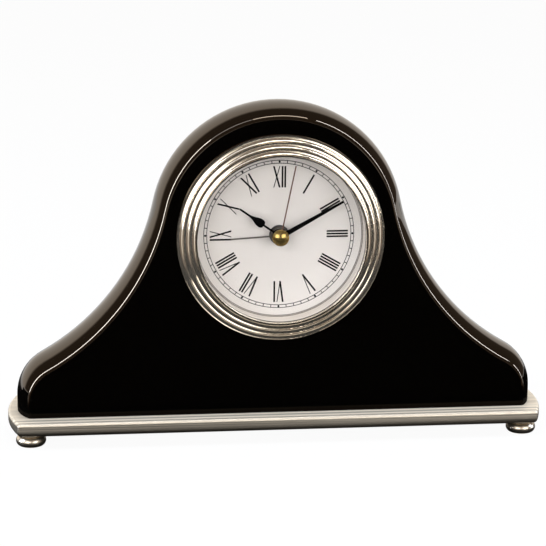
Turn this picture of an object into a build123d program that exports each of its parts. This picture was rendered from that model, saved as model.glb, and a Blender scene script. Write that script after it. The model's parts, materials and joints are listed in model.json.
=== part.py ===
"""Shelf clock with a hump-shouldered lacquered case and a push-in quartz alarm insert.

Millimetres, +Z up, +Y to the back, origin on the table under the middle of the clock.
The insert is built in a movement frame of its own: its origin is the middle of the dial's
front face, x runs right, y runs down and z runs to the back, so that a depth is a plain z.
"""
from build123d import *
from math import acos, atan2, cos, pi, radians, sin, sqrt, tan
import os

# Case
case_half_width = 84.95
case_depth = 24.0
dial_above_plate = 61.1
crown_margin = 4.15
crown_rise = 1.8
flank_radius = 83.35
flank_lean = 12.1
shoulder_radius = 12.15
band_bulge = 4.0
band_edge_round = 1.5
band_lap = 4.0

# Base plate and feet
plate_thickness = 4.8
plate_front_margin = 6.5
plate_corner_margin = 3.85
plate_end_bow = 3.4
plate_edge_round = 1.0
plate_under_round = 2.0
plate_corner_round = 0.6
foot_height = 4.5
foot_radius = 5.1
foot_rest_radius = 3.4
foot_neck_radius = 3.5
foot_collar_radius = 4.1
foot_collar_height = 0.7
foot_edge_margin = 6.8
foot_corner_margin = 4.3
foot_stud_radius = 1.5
foot_stud_length = 2.8
stud_clearance = 0.05

# Screws that hold the case on the plate
case_screw_spacing = 90.0
case_screw_radius = 1.6
case_screw_length = 14.0
case_screw_head_radius = 3.0
case_screw_head_height = 1.8
case_screw_head_sink = 0.3
screw_clearance = 0.1

# Insert: bezel, glass and dial
movement_radius = 29.6
dial_lap = 1.2
dial_thickness = 0.4
dial_recess = 5.7
skirt_clearance = 0.1
skirt_wall = 0.9
skirt_behind_dial = 3.3
bore_gap = 0.4
bezel_seat_gap = 0.05
bezel_rim_height = 1.4
bead_count = 3
bead_width = 2.0
bead_rise = 1.0
first_groove_height = 2.6
bead_sagitta = 0.5
lip_width = 0.6
lip_rise = 0.3
lip_round = 0.14
lens_front_height = 3.5
lens_thickness = 1.6
lens_clearance = 0.1
reflector_clearance = 0.05

# Grip ring round the insert
grip_clearance = 0.05
grip_wall = 0.7
grip_gap = 0.3
grip_width = 6.4
grip_rib_count = 24
grip_rib_radius = 0.5
collar_width = 1.0
collar_height = 0.7

# Plates and movement case
front_plate_thickness = 1.2
middle_plate_thickness = 1.0
middle_plate_margin = 1.1
case_wall = 1.3
rear_wall_thickness = 1.2
rear_room = 1.8
layer_gap = 0.4
wheel_face = 0.8
fine_wheel_face = 0.6
pinion_overhang = 0.1
pillar_radius = 1.9
pillar_spots = [(-13.5, -10.5), (13.5, -10.5), (-3.0, 20.5)]
movement_screw_radius = 0.8
movement_screw_length = 9.6
movement_screw_head_radius = 1.6
movement_screw_head_height = 0.9

# Pipes, arbors and pivots
seconds_arbor_radius = 0.5
pipe_wall = 0.64
running_clearance = 0.06
bush_front = 1.0
arbor_radius = 0.5
pivot_depth = 0.5
pivot_end_gap = 0.1
wheel_post_radius = 0.7
post_end_gap = 0.15

# Tooth form, in modules except for the backlash
pressure_angle = 20.0
wheel_addendum = 0.6
pinion_addendum = 1.1
root_clearance = 0.25
tooth_thinning = 0.06

# Teeth: each pinion is the smaller gear of its pair
rotor_leaves = 10
intermediate_teeth = 50
intermediate_leaves = 10
seconds_teeth = 60
seconds_leaves = 10
third_teeth = 75
third_leaves = 10
centre_teeth = 80
cannon_leaves = 12
motion_teeth = 36
motion_leaves = 10
hour_teeth = 40
time_set_leaves = 12
alarm_teeth = 40
alarm_idler_teeth = 20
alarm_set_teeth = 20

# Centre distances and modules that set the wheel sizes
third_distance = 11.0
seconds_module = 0.25
intermediate_module = 0.25
motion_module = 0.3
alarm_module = 0.3

# Stepper motor
rotor_arbor_radius = 0.35
rotor_magnet_radius = 1.5
rotor_magnet_length = 1.2
rotor_air_gap = 0.3
stator_thickness = 0.7
stator_half_width = 2.8
stator_reach_up = 5.8
stator_reach_down = 7.2
stator_leg_width = 2.4
coil_offset = 10.5
coil_core_width = 2.0
coil_core_thickness = 0.6
core_clearance = 0.05
bobbin_flange_radius = 2.6
bobbin_flange_width = 0.5
bobbin_core_radius = 1.35
bobbin_end_gap = 0.1
coil_inset = 0.25

# Circuit board
board_thickness = 0.8
board_stand_off = 0.7
board_right = 20.0
board_left = 9.5
board_top = 17.0
board_bottom = 4.0
board_corner_round = 1.0
board_hole_clearance = 0.15
board_post_radius = 0.9
board_post_inset = 1.6
chip_side = 4.0
chip_height = 1.2
crystal_radius = 1.0
crystal_length = 6.0
crystal_gap = 0.02

# Sounder
sounder_spot = (-15.5, -16.8)
sounder_radius = 4.5
sounder_length = 4.5
sounder_hole_radius = 0.5
sounder_hole_ring = 2.0
sounder_hole_count = 6

# Button cell, its pocket and its door
cell_spot = (12.5, 15.5)
cell_radius = 5.8
cell_height = 5.4
cell_cap_step = 0.9
cell_clearance = 0.3
pocket_wall = 0.8
pocket_floor = 0.8
contact_thickness = 0.2
minus_contact_radius = 4.0
plus_contact_angle = 40.0
plus_contact_length = 3.6
contact_gap = 0.05
door_gap = 0.1
door_flange_overlap = 0.9
door_flange_thickness = 1.0
door_plug_below_wall = 0.3
door_lug_reach = 0.6
door_lug_width = 2.0
door_lug_thickness = 0.5
door_notch_turn = 45.0
coin_slot_length = 9.0
coin_slot_width = 1.4
coin_slot_depth = 0.6

# Setting shafts and knobs
set_shaft_radius = 1.2
set_pivot_radius = 0.8
knob_radius = 4.6
knob_height = 3.3
knob_gap = 0.4
knob_bore_gap = 0.02
knob_roof = 0.8
knob_flute_count = 16
knob_flute_radius = 0.5
knob_edge_round = 0.4

# Alarm switch
switch_drop = 23.6
switch_travel = 4.0
switch_stem_width = 2.0
switch_stem_height = 1.4
switch_slot_gap = 0.1
switch_shoe_width = 5.0
switch_shoe_height = 3.0
switch_shoe_thickness = 0.8
switch_thumb_width = 3.4
switch_thumb_height = 2.6
switch_thumb_thickness = 1.5
switch_rib_count = 3
switch_rib_depth = 0.25

# Hands: angles are clockwise from twelve, fronts are in front of the dial
hand_thickness = 0.4
second_hand_thickness = 0.3
hub_gap = 0.01
alarm_hand_front = 1.9
hour_hand_front = 2.9
minute_hand_front = 4.0
second_hand_front = 5.1
alarm_hand_angle = 266.4
hour_hand_angle = 305.1
minute_hand_angle = 61.0
second_hand_angle = 11.4
alarm_hand_length = 16.6
alarm_hand_width = 0.45
alarm_hub_rim = 0.5
hour_hand_length = 16.6
hour_stem_width = 0.65
hour_hub_rim = 0.8
hour_leaf_width = 2.9
hour_leaf_foot = 6.7
hour_leaf_middle = 8.4
hour_leaf_tip = 12.6
hour_leaf_slope = 0.12
minute_hand_length = 24.3
minute_root_width = 1.75
minute_tip_width = 0.7
minute_hub_rim = 1.0
second_hand_length = 24.9
second_hand_width = 0.42
second_hub_rim = 0.9
cap_radius = 2.85
cap_height = 1.4
cap_rim_height = 0.25
cap_gap = 0.05

# Places worked out from the sizes above
plate_top = foot_height + plate_thickness
dial_height = plate_top + dial_above_plate
case_front = -case_depth / 2
dial_plane_y = case_front + dial_recess
plate_half_depth = case_depth / 2 + plate_front_margin
plate_corner_half = case_half_width + plate_corner_margin
foot_x = plate_corner_half - foot_corner_margin
foot_y = plate_half_depth - foot_edge_margin

window_radius = movement_radius - dial_lap
bezel_radius = window_radius + lip_width + bead_count * bead_width
crown_radius = bezel_radius + crown_margin
skirt_inner = movement_radius + skirt_clearance
skirt_outer = skirt_inner + skirt_wall
bore_radius = skirt_outer + bore_gap
lens_back = -dial_recess - lens_front_height + lens_thickness

cannon_bore = seconds_arbor_radius + running_clearance
cannon_pipe = cannon_bore + pipe_wall
hour_bore = cannon_pipe + running_clearance
hour_pipe = hour_bore + pipe_wall
alarm_bore = hour_pipe + running_clearance
alarm_pipe = alarm_bore + pipe_wall
bush_bore = alarm_pipe + running_clearance
bush_radius = bush_bore + pipe_wall

front_plate_back = dial_thickness + front_plate_thickness
alarm_layer = front_plate_back + layer_gap
hour_layer = alarm_layer + wheel_face + layer_gap
motion_layer = hour_layer + wheel_face + layer_gap
centre_layer = motion_layer + wheel_face + layer_gap
middle_plate_front = centre_layer + fine_wheel_face + layer_gap
middle_plate_back = middle_plate_front + middle_plate_thickness
third_layer = middle_plate_back + layer_gap
seconds_layer = third_layer + fine_wheel_face + layer_gap
intermediate_layer = seconds_layer + fine_wheel_face + layer_gap
rear_wall_front = intermediate_layer + fine_wheel_face + rear_room
rear_wall_back = rear_wall_front + rear_wall_thickness
cup_inner = movement_radius - case_wall
arbor_end = rear_wall_front + pivot_depth
grip_front = skirt_behind_dial + grip_gap
grip_back = grip_front + grip_width

third_module = 2 * third_distance / (seconds_leaves + third_teeth)
centre_module = 2 * third_distance / (third_leaves + centre_teeth)
motion_distance = motion_module * (cannon_leaves + motion_teeth) / 2
hour_module = 2 * motion_distance / (motion_leaves + hour_teeth)
time_set_distance = motion_module * (motion_teeth + time_set_leaves) / 2
intermediate_distance = seconds_module * (seconds_teeth + intermediate_leaves) / 2
rotor_distance = intermediate_module * (intermediate_teeth + rotor_leaves) / 2
alarm_idler_distance = alarm_module * (alarm_teeth + alarm_idler_teeth) / 2
alarm_set_distance = alarm_module * (alarm_idler_teeth + alarm_set_teeth) / 2

centre_spot = (0.0, 0.0)
third_spot = (0.0, -third_distance)
motion_spot = (motion_distance, 0.0)
time_set_spot = (motion_distance + time_set_distance, 0.0)
alarm_idler_spot = (-alarm_idler_distance, 0.0)
alarm_set_spot = (-alarm_idler_distance - alarm_set_distance, 0.0)
intermediate_spot = (0.0, intermediate_distance)
rotor_spot = (-rotor_distance, intermediate_distance)
switch_spot = (-switch_travel / 2, -switch_drop)

pocket_inner = cell_radius + cell_clearance
pocket_outer = pocket_inner + pocket_wall
cell_back = rear_wall_front - door_plug_below_wall - door_gap
cell_front = cell_back - cell_height
pocket_floor_back = cell_front - contact_thickness
door_plug_radius = pocket_inner - door_gap
lug_room_radius = door_plug_radius + door_lug_reach + door_gap
lug_room_front = rear_wall_front - door_lug_thickness - 2 * door_gap

MOVEMENT = Location(Plane(
    origin=(0, dial_plane_y, dial_height), x_dir=(1, 0, 0), z_dir=(0, 1, 0)))


# Plain forms in the movement frame
def disc(radius, start, end, spot=centre_spot):
    """A cylinder about a spot, from one depth to another."""
    return Pos(*spot, start) * extrude(Circle(radius), end - start)


def tube(outer, inner, start, end, spot=centre_spot):
    """A pipe about a spot, from one depth to another."""
    return Pos(*spot, start) * extrude(Circle(outer) - Circle(inner), end - start)


def block(width, height, start, end, spot=centre_spot):
    """A box about a spot, from one depth to another."""
    return Pos(*spot, start) * extrude(Rectangle(width, height), end - start)


def turned(edges):
    """A solid turned about the z axis from a closed outline in radius and depth."""
    return revolve(Plane.XZ * make_face(edges), Axis.Z)


def around(radius, count, first=0.0):
    """Places on a circle about the z axis, evenly spaced."""
    turns = [first + 2 * pi * number / count for number in range(count)]
    return [(radius * cos(turn), radius * sin(turn)) for turn in turns]


# Toothed forms
def involute(angle):
    """How far an involute has swung where its pressure angle is this, in radians."""
    return tan(angle) - angle


def half_tooth(module, teeth, radius):
    """Half the angle that a tooth takes at a radius. Below the base circle a flank is radial."""
    pitch = module * teeth / 2
    base = pitch * cos(radians(pressure_angle))
    here = acos(min(1.0, base / radius))
    at_pitch = pi / (2 * teeth) - tooth_thinning / (2 * pitch)
    return at_pitch + involute(radians(pressure_angle)) - involute(here)


def toothed(module, teeth, tip, root, radii, face, start, spot, turn):
    """A gear whose flanks pass through the given radii, with one tooth centred on a turn."""
    flank = [root] + radii + [tip]
    sides = [(radius, -half_tooth(module, teeth, radius)) for radius in flank]
    sides += [(radius, -angle) for radius, angle in reversed(sides)]
    outline = [
        (radius * cos(middle + angle), radius * sin(middle + angle))
        for middle in [turn + 2 * pi * tooth / teeth for tooth in range(teeth)]
        for radius, angle in sides
    ]
    return Pos(*spot, start) * extrude(make_face(Polyline(*outline, close=True)), face)


def wheel(module, teeth, layer, face, spot, turn):
    """A wheel, the larger gear of a pair: short tips, deep roots and straight flanks."""
    pitch = module * teeth / 2
    tip = pitch + wheel_addendum * module
    root = pitch - (pinion_addendum + root_clearance) * module
    return toothed(module, teeth, tip, root, [], face, layer, spot, turn)


def pinion(module, leaves, layer, face, spot, turn):
    """A pinion that runs in a wheel of that layer and face, a little wider than the wheel."""
    pitch = module * leaves / 2
    tip = pitch + pinion_addendum * module
    root = pitch - (wheel_addendum + root_clearance) * module
    wide = face + 2 * pinion_overhang
    return toothed(module, leaves, tip, root, [pitch], wide, layer - pinion_overhang, spot, turn)


def tooth_towards(here, there):
    """The turn that points a tooth from one spot at another."""
    return atan2(there[1] - here[1], there[0] - here[0])


def gap_towards(here, there, teeth):
    """The turn that points a tooth gap from one spot at another."""
    return tooth_towards(here, there) + pi / teeth


# Case, plate and feet
def case_outline(inset):
    """The case's front outline, drawn in by an inset, from its lower right to its lower left."""
    crown = Vector(0, dial_height + crown_rise)
    lean = Vector(cos(radians(flank_lean)), sin(radians(flank_lean)))
    flank = crown + lean * (crown_radius + flank_radius)
    shoulder_x = case_half_width - shoulder_radius
    reach = flank_radius + shoulder_radius
    shoulder = Vector(shoulder_x, flank.Y - sqrt(reach**2 - (flank.X - shoulder_x) ** 2))
    rise = (flank - shoulder).normalized()
    half = rise + Vector(1, 0)
    foot = Vector(case_half_width - inset, plate_top)
    side = Vector(case_half_width - inset, shoulder.Y)
    shoulder_middle = shoulder + half.normalized() * (shoulder_radius - inset)
    shoulder_end = shoulder + rise * (shoulder_radius - inset)
    flank_middle = flank - (rise + lean).normalized() * (flank_radius + inset)
    flank_end = crown + lean * (crown_radius - inset)
    top = crown + Vector(0, crown_radius - inset)

    def left(point):
        return Vector(-point.X, point.Y)

    return [
        Line(foot, side),
        ThreePointArc(side, shoulder_middle, shoulder_end),
        ThreePointArc(shoulder_end, flank_middle, flank_end),
        ThreePointArc(flank_end, top, left(flank_end)),
        ThreePointArc(left(flank_end), left(flank_middle), left(shoulder_end)),
        ThreePointArc(left(shoulder_end), left(shoulder_middle), left(side)),
        Line(left(side), left(foot)),
    ]


def case_body():
    """The lacquered block: a flat core with a bowed band swept round it, bored for the insert."""
    core_edges = case_outline(band_lap / 2)
    floor = Line(core_edges[-1] @ 1, core_edges[0] @ 0)
    core = extrude(Plane.XZ * make_face(core_edges + [floor]), case_depth / 2, both=True)
    inner = case_half_width - band_lap
    section = make_face([
        Line((inner, case_front), (case_half_width, case_front)),
        ThreePointArc((case_half_width, case_front), (case_half_width + band_bulge, 0),
                      (case_half_width, -case_front)),
        Line((case_half_width, -case_front), (inner, -case_front)),
        Line((inner, -case_front), (inner, case_front)),
    ])
    section = fillet(section.vertices().group_by(Axis.X)[-1], band_edge_round)
    path = Wire([Plane.XZ * edge for edge in case_outline(0)])
    band = sweep(Pos(0, 0, plate_top) * section, path=path)
    bore = MOVEMENT * disc(bore_radius, -case_depth, 2 * case_depth)
    depth = case_screw_length - (plate_thickness - case_screw_head_height - case_screw_head_sink)
    pilot = extrude(Circle(case_screw_radius + stud_clearance), depth + screw_clearance)
    pilots = [Pos(x, 0, plate_top) * pilot for x in (-case_screw_spacing / 2, case_screw_spacing / 2)]
    return core + band - bore - pilots


def base_plate():
    """The plated base: straight front and back, bowed ends, rounded edges, holes from below."""
    corner = Vector(plate_corner_half, plate_half_depth)
    end = Vector(plate_corner_half + plate_end_bow, 0)
    outline = make_face([
        Line((-corner.X, -corner.Y), (corner.X, -corner.Y)),
        ThreePointArc((corner.X, -corner.Y), (end.X, 0), (corner.X, corner.Y)),
        Line((corner.X, corner.Y), (-corner.X, corner.Y)),
        ThreePointArc((-corner.X, corner.Y), (-end.X, 0), (-corner.X, -corner.Y)),
    ])
    outline = fillet(outline.vertices(), plate_corner_round)
    plate = Pos(0, 0, foot_height) * extrude(outline, plate_thickness)
    plate = fillet(plate.faces().sort_by(Axis.Z)[-1].edges(), plate_edge_round)
    plate = fillet(plate.faces().sort_by(Axis.Z)[0].edges(), plate_under_round)
    stud_hole = extrude(Circle(foot_stud_radius + stud_clearance), foot_stud_length + stud_clearance)
    sink = case_screw_head_height + case_screw_head_sink
    screw_hole = extrude(Circle(case_screw_radius + screw_clearance), plate_thickness)
    screw_hole += extrude(Circle(case_screw_head_radius + screw_clearance), sink)
    holes = [Pos(x, y, foot_height) * stud_hole for x in (-foot_x, foot_x) for y in (-foot_y, foot_y)]
    holes += [Pos(x, 0, foot_height) * screw_hole for x in (-case_screw_spacing / 2, case_screw_spacing / 2)]
    return plate - holes


def foot(x, y):
    """A turned bun foot with a collar and a stud that screws into the plate."""
    neck = foot_height - foot_collar_height
    return Pos(x, y, 0) * turned([
        Line((0, 0), (foot_rest_radius, 0)),
        ThreePointArc((foot_rest_radius, 0), (foot_radius, neck / 2), (foot_neck_radius, neck)),
        Line((foot_neck_radius, neck), (foot_collar_radius, neck)),
        Line((foot_collar_radius, neck), (foot_collar_radius, foot_height)),
        Line((foot_collar_radius, foot_height), (foot_stud_radius, foot_height)),
        Line((foot_stud_radius, foot_height), (foot_stud_radius, foot_height + foot_stud_length)),
        Line((foot_stud_radius, foot_height + foot_stud_length), (0, foot_height + foot_stud_length)),
        Line((0, foot_height + foot_stud_length), (0, 0)),
    ])


def case_screws():
    """Two pan-head screws that come up through the plate into the case."""
    head_top = foot_height + case_screw_head_sink + case_screw_head_height
    screw = Pos(0, 0, head_top) * extrude(Circle(case_screw_radius), case_screw_length)
    screw += Pos(0, 0, head_top) * extrude(Circle(case_screw_head_radius), -case_screw_head_height)
    return [Pos(x, 0, 0) * screw for x in (-case_screw_spacing / 2, case_screw_spacing / 2)]


# Bezel, glass, dial and grip ring
def bezel():
    """The stepped bezel: rounded beads that rise inwards, a thin lip and a skirt into the bore."""

    def depth(height):
        return -dial_recess - height

    def groove(number):
        return (bezel_radius - number * bead_width,
                depth(first_groove_height + (number - 1) * bead_rise))

    rim = (bezel_radius, depth(bezel_rim_height))
    grooves = [rim] + [groove(number + 1) for number in range(bead_count)]
    beads = [SagittaArc(a, b, -bead_sagitta) for a, b in zip(grooves, grooves[1:])]
    lip_outer = (grooves[-1][0], grooves[-1][1] - lip_rise)
    lip_inner = (window_radius, lip_outer[1])
    seat = depth(lens_front_height)
    flange = depth(bezel_seat_gap)
    corners = [
        grooves[-1], lip_outer, lip_inner, (window_radius, seat), (skirt_inner, seat),
        (skirt_inner, skirt_behind_dial), (skirt_outer, skirt_behind_dial), (skirt_outer, flange),
        (bezel_radius, flange), rim,
    ]
    outline = make_face(beads + [Line(a, b) for a, b in zip(corners, corners[1:])])
    lip_corners = outline.vertices().group_by(Axis.Y)[0]
    outline = fillet(lip_corners, lip_round)
    return revolve(Plane.XZ * outline, Axis.Z)


def lens_glass():
    """The flat glass under the bezel's lip."""
    return disc(skirt_inner - lens_clearance, lens_back - lens_thickness, lens_back)


def reflector_ring():
    """The bright straight ring between the glass and the dial."""
    return tube(skirt_inner - reflector_clearance, window_radius, lens_back, 0)


def dial():
    """The printed plate, holed for the hand bush."""
    return tube(movement_radius, bush_radius + running_clearance, 0, dial_thickness)


def grip_ring():
    """The ribbed rubber sleeve that holds the insert in the bore by friction."""
    inner = movement_radius + grip_clearance
    outer = bore_radius - grip_clearance
    ring = tube(inner + grip_wall, inner, grip_front, grip_back)
    ribs = [disc(grip_rib_radius, grip_front, grip_back, spot)
            for spot in around(outer - grip_rib_radius, grip_rib_count)]
    return ring + ribs - disc(inner, grip_front, grip_back)


# Plates and movement case
def front_plate():
    """The plate behind the dial, with the hand bush, pillars, wheel posts and pivot holes."""
    plate = disc(movement_radius, dial_thickness, front_plate_back)
    plate += disc(bush_radius, -bush_front, dial_thickness)
    plate += [disc(pillar_radius, front_plate_back, middle_plate_front, spot) for spot in pillar_spots]
    plate += disc(wheel_post_radius, front_plate_back, motion_layer + wheel_face + post_end_gap, motion_spot)
    plate += disc(wheel_post_radius, front_plate_back, alarm_layer + wheel_face + post_end_gap,
                  alarm_idler_spot)
    plate -= disc(bush_bore, -bush_front, front_plate_back)
    screw_end = rear_wall_back - movement_screw_head_height - movement_screw_length
    screw_room = screw_end - stud_clearance
    plate -= [disc(movement_screw_radius + stud_clearance, screw_room, middle_plate_front, spot)
              for spot in pillar_spots]
    pivot_floor = front_plate_back - pivot_depth - pivot_end_gap
    plate -= disc(arbor_radius + running_clearance, pivot_floor, front_plate_back, third_spot)
    plate -= [disc(set_pivot_radius + running_clearance, pivot_floor, front_plate_back, spot)
              for spot in (time_set_spot, alarm_set_spot)]
    return plate


def middle_plate():
    """The bridge on the pillars that carries the motor and the inner pivots."""
    pads = [Pos(*spot) * Circle(pillar_radius + middle_plate_margin) for spot in pillar_spots]
    outline = make_hull([edge for pad in pads for edge in pad.edges()])
    plate = Pos(0, 0, middle_plate_front) * extrude(outline, middle_plate_thickness)
    bores = [
        (centre_spot, seconds_arbor_radius),
        (third_spot, arbor_radius),
        (intermediate_spot, arbor_radius),
        (rotor_spot, rotor_arbor_radius),
    ]
    plate -= [disc(radius + running_clearance, middle_plate_front, middle_plate_back, spot)
              for spot, radius in bores]
    plate -= [disc(movement_screw_radius + screw_clearance, middle_plate_front, middle_plate_back, spot)
              for spot in pillar_spots]
    return plate


def movement_case():
    """The cup behind the front plate: wall, rear wall, bosses, cell pocket and its openings."""
    cup = disc(movement_radius, front_plate_back, rear_wall_back)
    cup += disc(movement_radius + collar_height, grip_back + grip_gap, grip_back + grip_gap + collar_width)
    cup -= disc(cup_inner, front_plate_back, rear_wall_front)
    cup += [disc(pillar_radius, middle_plate_back, rear_wall_front, spot) for spot in pillar_spots]
    cup += disc(pocket_outer, pocket_floor_back - pocket_floor, rear_wall_front, cell_spot)
    cup += disc(lug_room_radius + pocket_wall, lug_room_front - pocket_wall, rear_wall_front, cell_spot)
    cup += [disc(board_post_radius, rear_wall_front - board_stand_off, rear_wall_front, spot)
            for spot in board_posts()]
    cup -= disc(pocket_inner, pocket_floor_back, rear_wall_back, cell_spot)
    cup -= disc(lug_room_radius, lug_room_front, rear_wall_front, cell_spot)
    notch = Rectangle(2 * lug_room_radius, door_lug_width + 2 * door_gap) & Circle(lug_room_radius)
    cup -= Pos(*cell_spot, rear_wall_front) * Rot(0, 0, door_notch_turn) * extrude(notch, rear_wall_thickness)
    head_floor = rear_wall_back - movement_screw_head_height
    for spot in pillar_spots:
        cup -= disc(movement_screw_radius + screw_clearance, middle_plate_back, head_floor, spot)
        cup -= disc(movement_screw_head_radius + screw_clearance, head_floor, rear_wall_back, spot)
    for spot, radius in (
        (centre_spot, seconds_arbor_radius),
        (third_spot, arbor_radius),
        (intermediate_spot, arbor_radius),
        (rotor_spot, rotor_arbor_radius),
    ):
        cup -= disc(radius + running_clearance, rear_wall_front, arbor_end + pivot_end_gap, spot)
    cup -= [disc(set_shaft_radius + running_clearance, rear_wall_front, rear_wall_back, spot)
            for spot in (time_set_spot, alarm_set_spot)]
    cup -= block(switch_travel + switch_stem_width + 2 * switch_slot_gap,
                 switch_stem_height + 2 * switch_slot_gap, rear_wall_front, rear_wall_back, (0, -switch_drop))
    cup -= [Pos(*sounder_spot) * disc(sounder_hole_radius, rear_wall_front, rear_wall_back, spot)
            for spot in around(sounder_hole_ring, sounder_hole_count)]
    return cup


def movement_screws():
    """Three screws that clamp the case and the middle plate to the pillars."""
    head_floor = rear_wall_back - movement_screw_head_height
    screws = []
    for spot in pillar_spots:
        head = disc(movement_screw_head_radius, head_floor, rear_wall_back, spot)
        shank = disc(movement_screw_radius, head_floor - movement_screw_length, head_floor, spot)
        screws.append(head + shank)
    return screws


# Hands
def pointed(angle, hub_radius, bore, front, thickness, blade):
    """A hand: a blade drawn along +x, a hub and its bore, turned to a clock angle."""
    flat = blade + Circle(hub_radius) - Circle(bore)
    return Pos(0, 0, -front) * Rot(0, 0, angle - 90) * extrude(flat, thickness)


def alarm_hand():
    blade = Pos(alarm_hand_length / 2, 0) * Rectangle(alarm_hand_length, alarm_hand_width)
    return pointed(alarm_hand_angle, alarm_pipe + alarm_hub_rim, alarm_pipe + hub_gap,
                   alarm_hand_front, hand_thickness, blade)


def hour_hand():
    """A narrow stem with a round-footed leaf that tapers into the tip."""
    half_stem = hour_stem_width / 2
    half_leaf = hour_leaf_width / 2
    stem = Pos(hour_hand_length / 2, 0) * Rectangle(hour_hand_length, hour_stem_width)
    side = Spline((hour_leaf_foot, half_stem), (hour_leaf_middle, half_leaf), (hour_leaf_tip, half_stem),
                  tangents=[(0, 1), (1, -hour_leaf_slope)])
    leaf = make_face([
        side,
        Line((hour_leaf_tip, half_stem), (hour_leaf_tip, -half_stem)),
        mirror(side, Plane.XZ),
        Line((hour_leaf_foot, -half_stem), (hour_leaf_foot, half_stem)),
    ])
    return pointed(hour_hand_angle, hour_pipe + hour_hub_rim, hour_pipe + hub_gap,
                   hour_hand_front, hand_thickness, stem + leaf)


def minute_hand():
    blade = make_face(Polyline(
        (0, -minute_root_width / 2), (minute_hand_length, -minute_tip_width / 2),
        (minute_hand_length, minute_tip_width / 2), (0, minute_root_width / 2), close=True))
    return pointed(minute_hand_angle, cannon_pipe + minute_hub_rim, cannon_pipe + hub_gap,
                   minute_hand_front, hand_thickness, blade)


def second_hand():
    blade = Pos(second_hand_length / 2, 0) * Rectangle(second_hand_length, second_hand_width)
    return pointed(second_hand_angle, seconds_arbor_radius + second_hub_rim, seconds_arbor_radius + hub_gap,
                   second_hand_front, second_hand_thickness, blade)


def second_hand_cap():
    """The domed cap pushed on the seconds arbor in front of its hand."""
    back = -second_hand_front - cap_gap
    rim = back - cap_rim_height
    top = back - cap_height
    dome_radius = (cap_radius**2 + (cap_height - cap_rim_height) ** 2) / (2 * (cap_height - cap_rim_height))
    dome_half = RadiusArc((cap_radius, rim), (0, top), dome_radius)
    cap = turned([
        Line((0, back), (cap_radius, back)), Line((cap_radius, back), (cap_radius, rim)),
        dome_half, Line((0, top), (0, back)),
    ])
    return cap - disc(seconds_arbor_radius + hub_gap, back - cap_height / 2, back)


# Hand wheels
def alarm_wheel():
    """The wheel on the outermost pipe, which carries the alarm hand."""
    gear = wheel(alarm_module, alarm_teeth, alarm_layer, wheel_face, centre_spot,
                 gap_towards(centre_spot, alarm_idler_spot, alarm_teeth))
    return gear + disc(alarm_pipe, -alarm_hand_front, alarm_layer) - disc(
        alarm_bore, -alarm_hand_front, alarm_layer + wheel_face)


def alarm_idler():
    gear = pinion(alarm_module, alarm_idler_teeth, alarm_layer, wheel_face, alarm_idler_spot,
                  tooth_towards(alarm_idler_spot, centre_spot))
    bore = disc(wheel_post_radius + running_clearance, front_plate_back, rear_wall_front, alarm_idler_spot)
    return gear - bore


def hour_wheel():
    """The wheel on the middle pipe, which carries the hour hand."""
    gear = wheel(hour_module, hour_teeth, hour_layer, wheel_face, centre_spot,
                 gap_towards(centre_spot, motion_spot, hour_teeth))
    return gear + disc(hour_pipe, -hour_hand_front, hour_layer) - disc(
        hour_bore, -hour_hand_front, hour_layer + wheel_face)


def motion_wheel():
    """The wheel and pinion that slow the hour pipe to a twelfth of the minute pipe."""
    gear = wheel(motion_module, motion_teeth, motion_layer, wheel_face, motion_spot,
                 gap_towards(motion_spot, centre_spot, motion_teeth))
    small = pinion(hour_module, motion_leaves, hour_layer, wheel_face + layer_gap, motion_spot,
                   tooth_towards(motion_spot, centre_spot))
    bore = disc(wheel_post_radius + running_clearance, front_plate_back, rear_wall_front, motion_spot)
    return gear + small - bore


def cannon_pinion():
    """The innermost pipe, which carries the minute hand, with the pinion that drives the hours."""
    leaves = pinion(motion_module, cannon_leaves, motion_layer, wheel_face, centre_spot,
                    tooth_towards(centre_spot, motion_spot))
    rear = centre_layer + fine_wheel_face + layer_gap / 2
    return leaves + disc(cannon_pipe, -minute_hand_front, rear) - disc(cannon_bore, -minute_hand_front, rear)


def centre_wheel():
    """The wheel that turns once an hour and slips on the cannon pinion while the time is set."""
    gear = wheel(centre_module, centre_teeth, centre_layer, fine_wheel_face, centre_spot,
                 gap_towards(centre_spot, third_spot, centre_teeth))
    return gear - disc(cannon_pipe + running_clearance, centre_layer, middle_plate_front)


# Going train
def third_wheel():
    gear = wheel(third_module, third_teeth, third_layer, fine_wheel_face, third_spot,
                 gap_towards(third_spot, centre_spot, third_teeth))
    leaves = pinion(centre_module, third_leaves, centre_layer, fine_wheel_face, third_spot,
                    tooth_towards(third_spot, centre_spot))
    return gear + leaves + disc(arbor_radius, front_plate_back - pivot_depth, arbor_end, third_spot)


def seconds_wheel():
    """The wheel that turns once a minute, on the long arbor that carries the second hand."""
    gear = wheel(seconds_module, seconds_teeth, seconds_layer, fine_wheel_face, centre_spot,
                 gap_towards(centre_spot, intermediate_spot, seconds_teeth))
    leaves = pinion(third_module, seconds_leaves, third_layer, fine_wheel_face + layer_gap, centre_spot,
                    tooth_towards(centre_spot, third_spot))
    front = -second_hand_front - cap_height / 2
    return gear + leaves + disc(seconds_arbor_radius, front, arbor_end)


def intermediate_wheel():
    gear = wheel(intermediate_module, intermediate_teeth, intermediate_layer, fine_wheel_face,
                 intermediate_spot, gap_towards(intermediate_spot, rotor_spot, intermediate_teeth))
    leaves = pinion(seconds_module, intermediate_leaves, seconds_layer, fine_wheel_face + layer_gap,
                    intermediate_spot, tooth_towards(intermediate_spot, centre_spot))
    return gear + leaves + disc(arbor_radius, middle_plate_back - pivot_depth, arbor_end, intermediate_spot)


def rotor_pinion():
    leaves = pinion(intermediate_module, rotor_leaves, intermediate_layer, fine_wheel_face, rotor_spot,
                    tooth_towards(rotor_spot, intermediate_spot))
    return leaves + disc(rotor_arbor_radius, middle_plate_back - pivot_depth, arbor_end, rotor_spot)


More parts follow.
